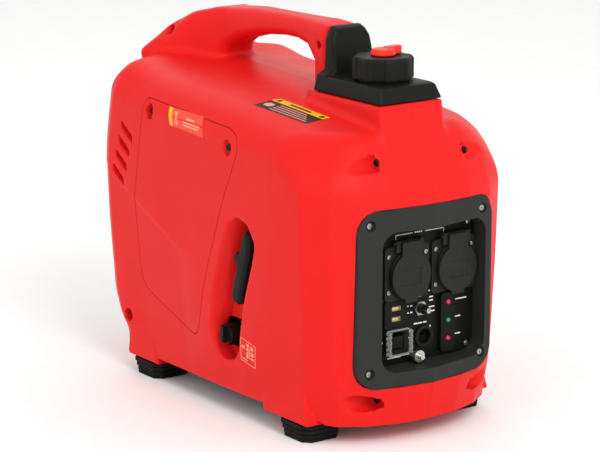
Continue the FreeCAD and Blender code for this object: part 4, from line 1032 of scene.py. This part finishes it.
finishes = {
    "blackMouldedPp": "rear_grille cap_plug valve_knob recoil_housing recoil_pulley fan_housing air_filter_box "
                      "fuel_valve oil_dipstick dc_socket toggle_body breaker_body breaker_rocker",
    "greyMouldedAbs": "panel_bezel",
    "powderCoatBlack": "panel_plate usb_module lamp_strip",
    "socketNylon": "socket_base_left socket_base_right socket_lid_left socket_lid_right",
    "tankPolyethylene": "fuel_tank fuel_strainer",
    "footRubber": "cap_gasket engine_mounts",
    "zincPlatedSteel": "lid_pins toggle_nut toggle_bat",
    "bluedSpringSteel": "recoil_spring",
    "nickelPlatedBrass": "ground_stud ground_nut",
    "creamNylon": "usb_tongues",
    "braidedPolyester": "starter_rope",
    "dieCastAluminium": "crankcase cylinder cylinder_head piston carburettor inverter_module",
    "heatProofPaint": "muffler exhaust_pipe rocker_cover",
    "machinedSteel": "crankshaft flywheel_rotor stator ignition_coil spark_plug",
}
for finish, names in finishes.items():
    for name in names.split():
        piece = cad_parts[name]
        for holder in piece.material_slots:
            holder.material = materials[finish]
        if not piece.material_slots:
            piece.data.materials.append(materials[finish])
print("finishes given")

# floor, studio light and camera

studio = {
    "floor": "#FAFAF9", "fleck": "#F5F5F4", "key": 48, "fill": 6, "back": 8, "horizon": 1.08, "zenith": 0.84,
}
floor = solid("floor", [prism([(-6000, -6000), (6000, -6000), (6000, 6000), (-6000, 6000)], "Z", -20, 0)])
floorPaper = bpy.data.materials.new("seamlessPaper")
floorPaper.use_nodes = True
paperTree = floorPaper.node_tree
paperTree.nodes.clear()
fibre = addNode(paperTree, "ShaderNodeTexNoise", {"Scale": 300})
paperTone = addNode(paperTree, "ShaderNodeMix", {
    "data_type": "RGBA", 0: fibre.outputs["Fac"], 6: colour(studio["floor"]), 7: colour(studio["fleck"]),
})
paper = addNode(paperTree, "ShaderNodeBsdfPrincipled", {"Base Color": paperTone.outputs[2], "Roughness": 0.9})
addNode(paperTree, "ShaderNodeOutputMaterial", {"Surface": paper.outputs[0]})
floor.data.materials.append(floorPaper)


def softbox(name, spot, target, power, size):
    light = bpy.data.lights.new(name, "AREA")
    light.shape = "DISK"
    light.energy = power
    light.size = size
    holder = bpy.data.objects.new(name, light)
    holder.location = spot
    holder.rotation_euler = (Vector(target) - Vector(spot)).to_track_quat("-Z", "Y").to_euler()
    bpy.context.collection.objects.link(holder)


softbox("keyLight", (-0.6, -2.6, 2.3), (0, -0.1, 0.2), studio["key"], 1.6)
softbox("sideLight", (-2.6, -0.2, 1.6), (0, 0, 0.2), studio["fill"], 1.8)
softbox("backLight", (1.2, 2.2, 2.6), (0, 0, 0.3), studio["back"], 2.0)
world = bpy.data.worlds.new("studioSky")
world.use_nodes = True
skyTree = world.node_tree
way = addNode(skyTree, "ShaderNodeTexCoord", {}).outputs["Generated"]
height = addNode(skyTree, "ShaderNodeSeparateXYZ", {0: way}).outputs["Z"]
glow = addNode(skyTree, "ShaderNodeMapRange", {
    "Value": height, "From Min": 0, "From Max": 1, "To Min": studio["horizon"], "To Max": studio["zenith"],
}).outputs[0]
sky = skyTree.nodes["Background"]
sky.inputs["Color"].default_value = colour("#FFFFFF")
skyTree.links.new(glow, sky.inputs["Strength"])
scene = bpy.context.scene
scene.world = world
scene.view_settings.view_transform = "Standard"

view = {"place": (-1.7583, -2.4192, 0.9117), "dip": 13.262, "turn": -35.844, "focal": 150.8}
optics = bpy.data.cameras.new("camera")
optics.lens = view["focal"]
optics.sensor_width = 36
camera = bpy.data.objects.new("camera", optics)
camera.location = view["place"]
camera.rotation_euler = (math.radians(90 - view["dip"]), 0, math.radians(view["turn"]))
bpy.context.collection.objects.link(camera)
scene.camera = camera

print("scene ready")
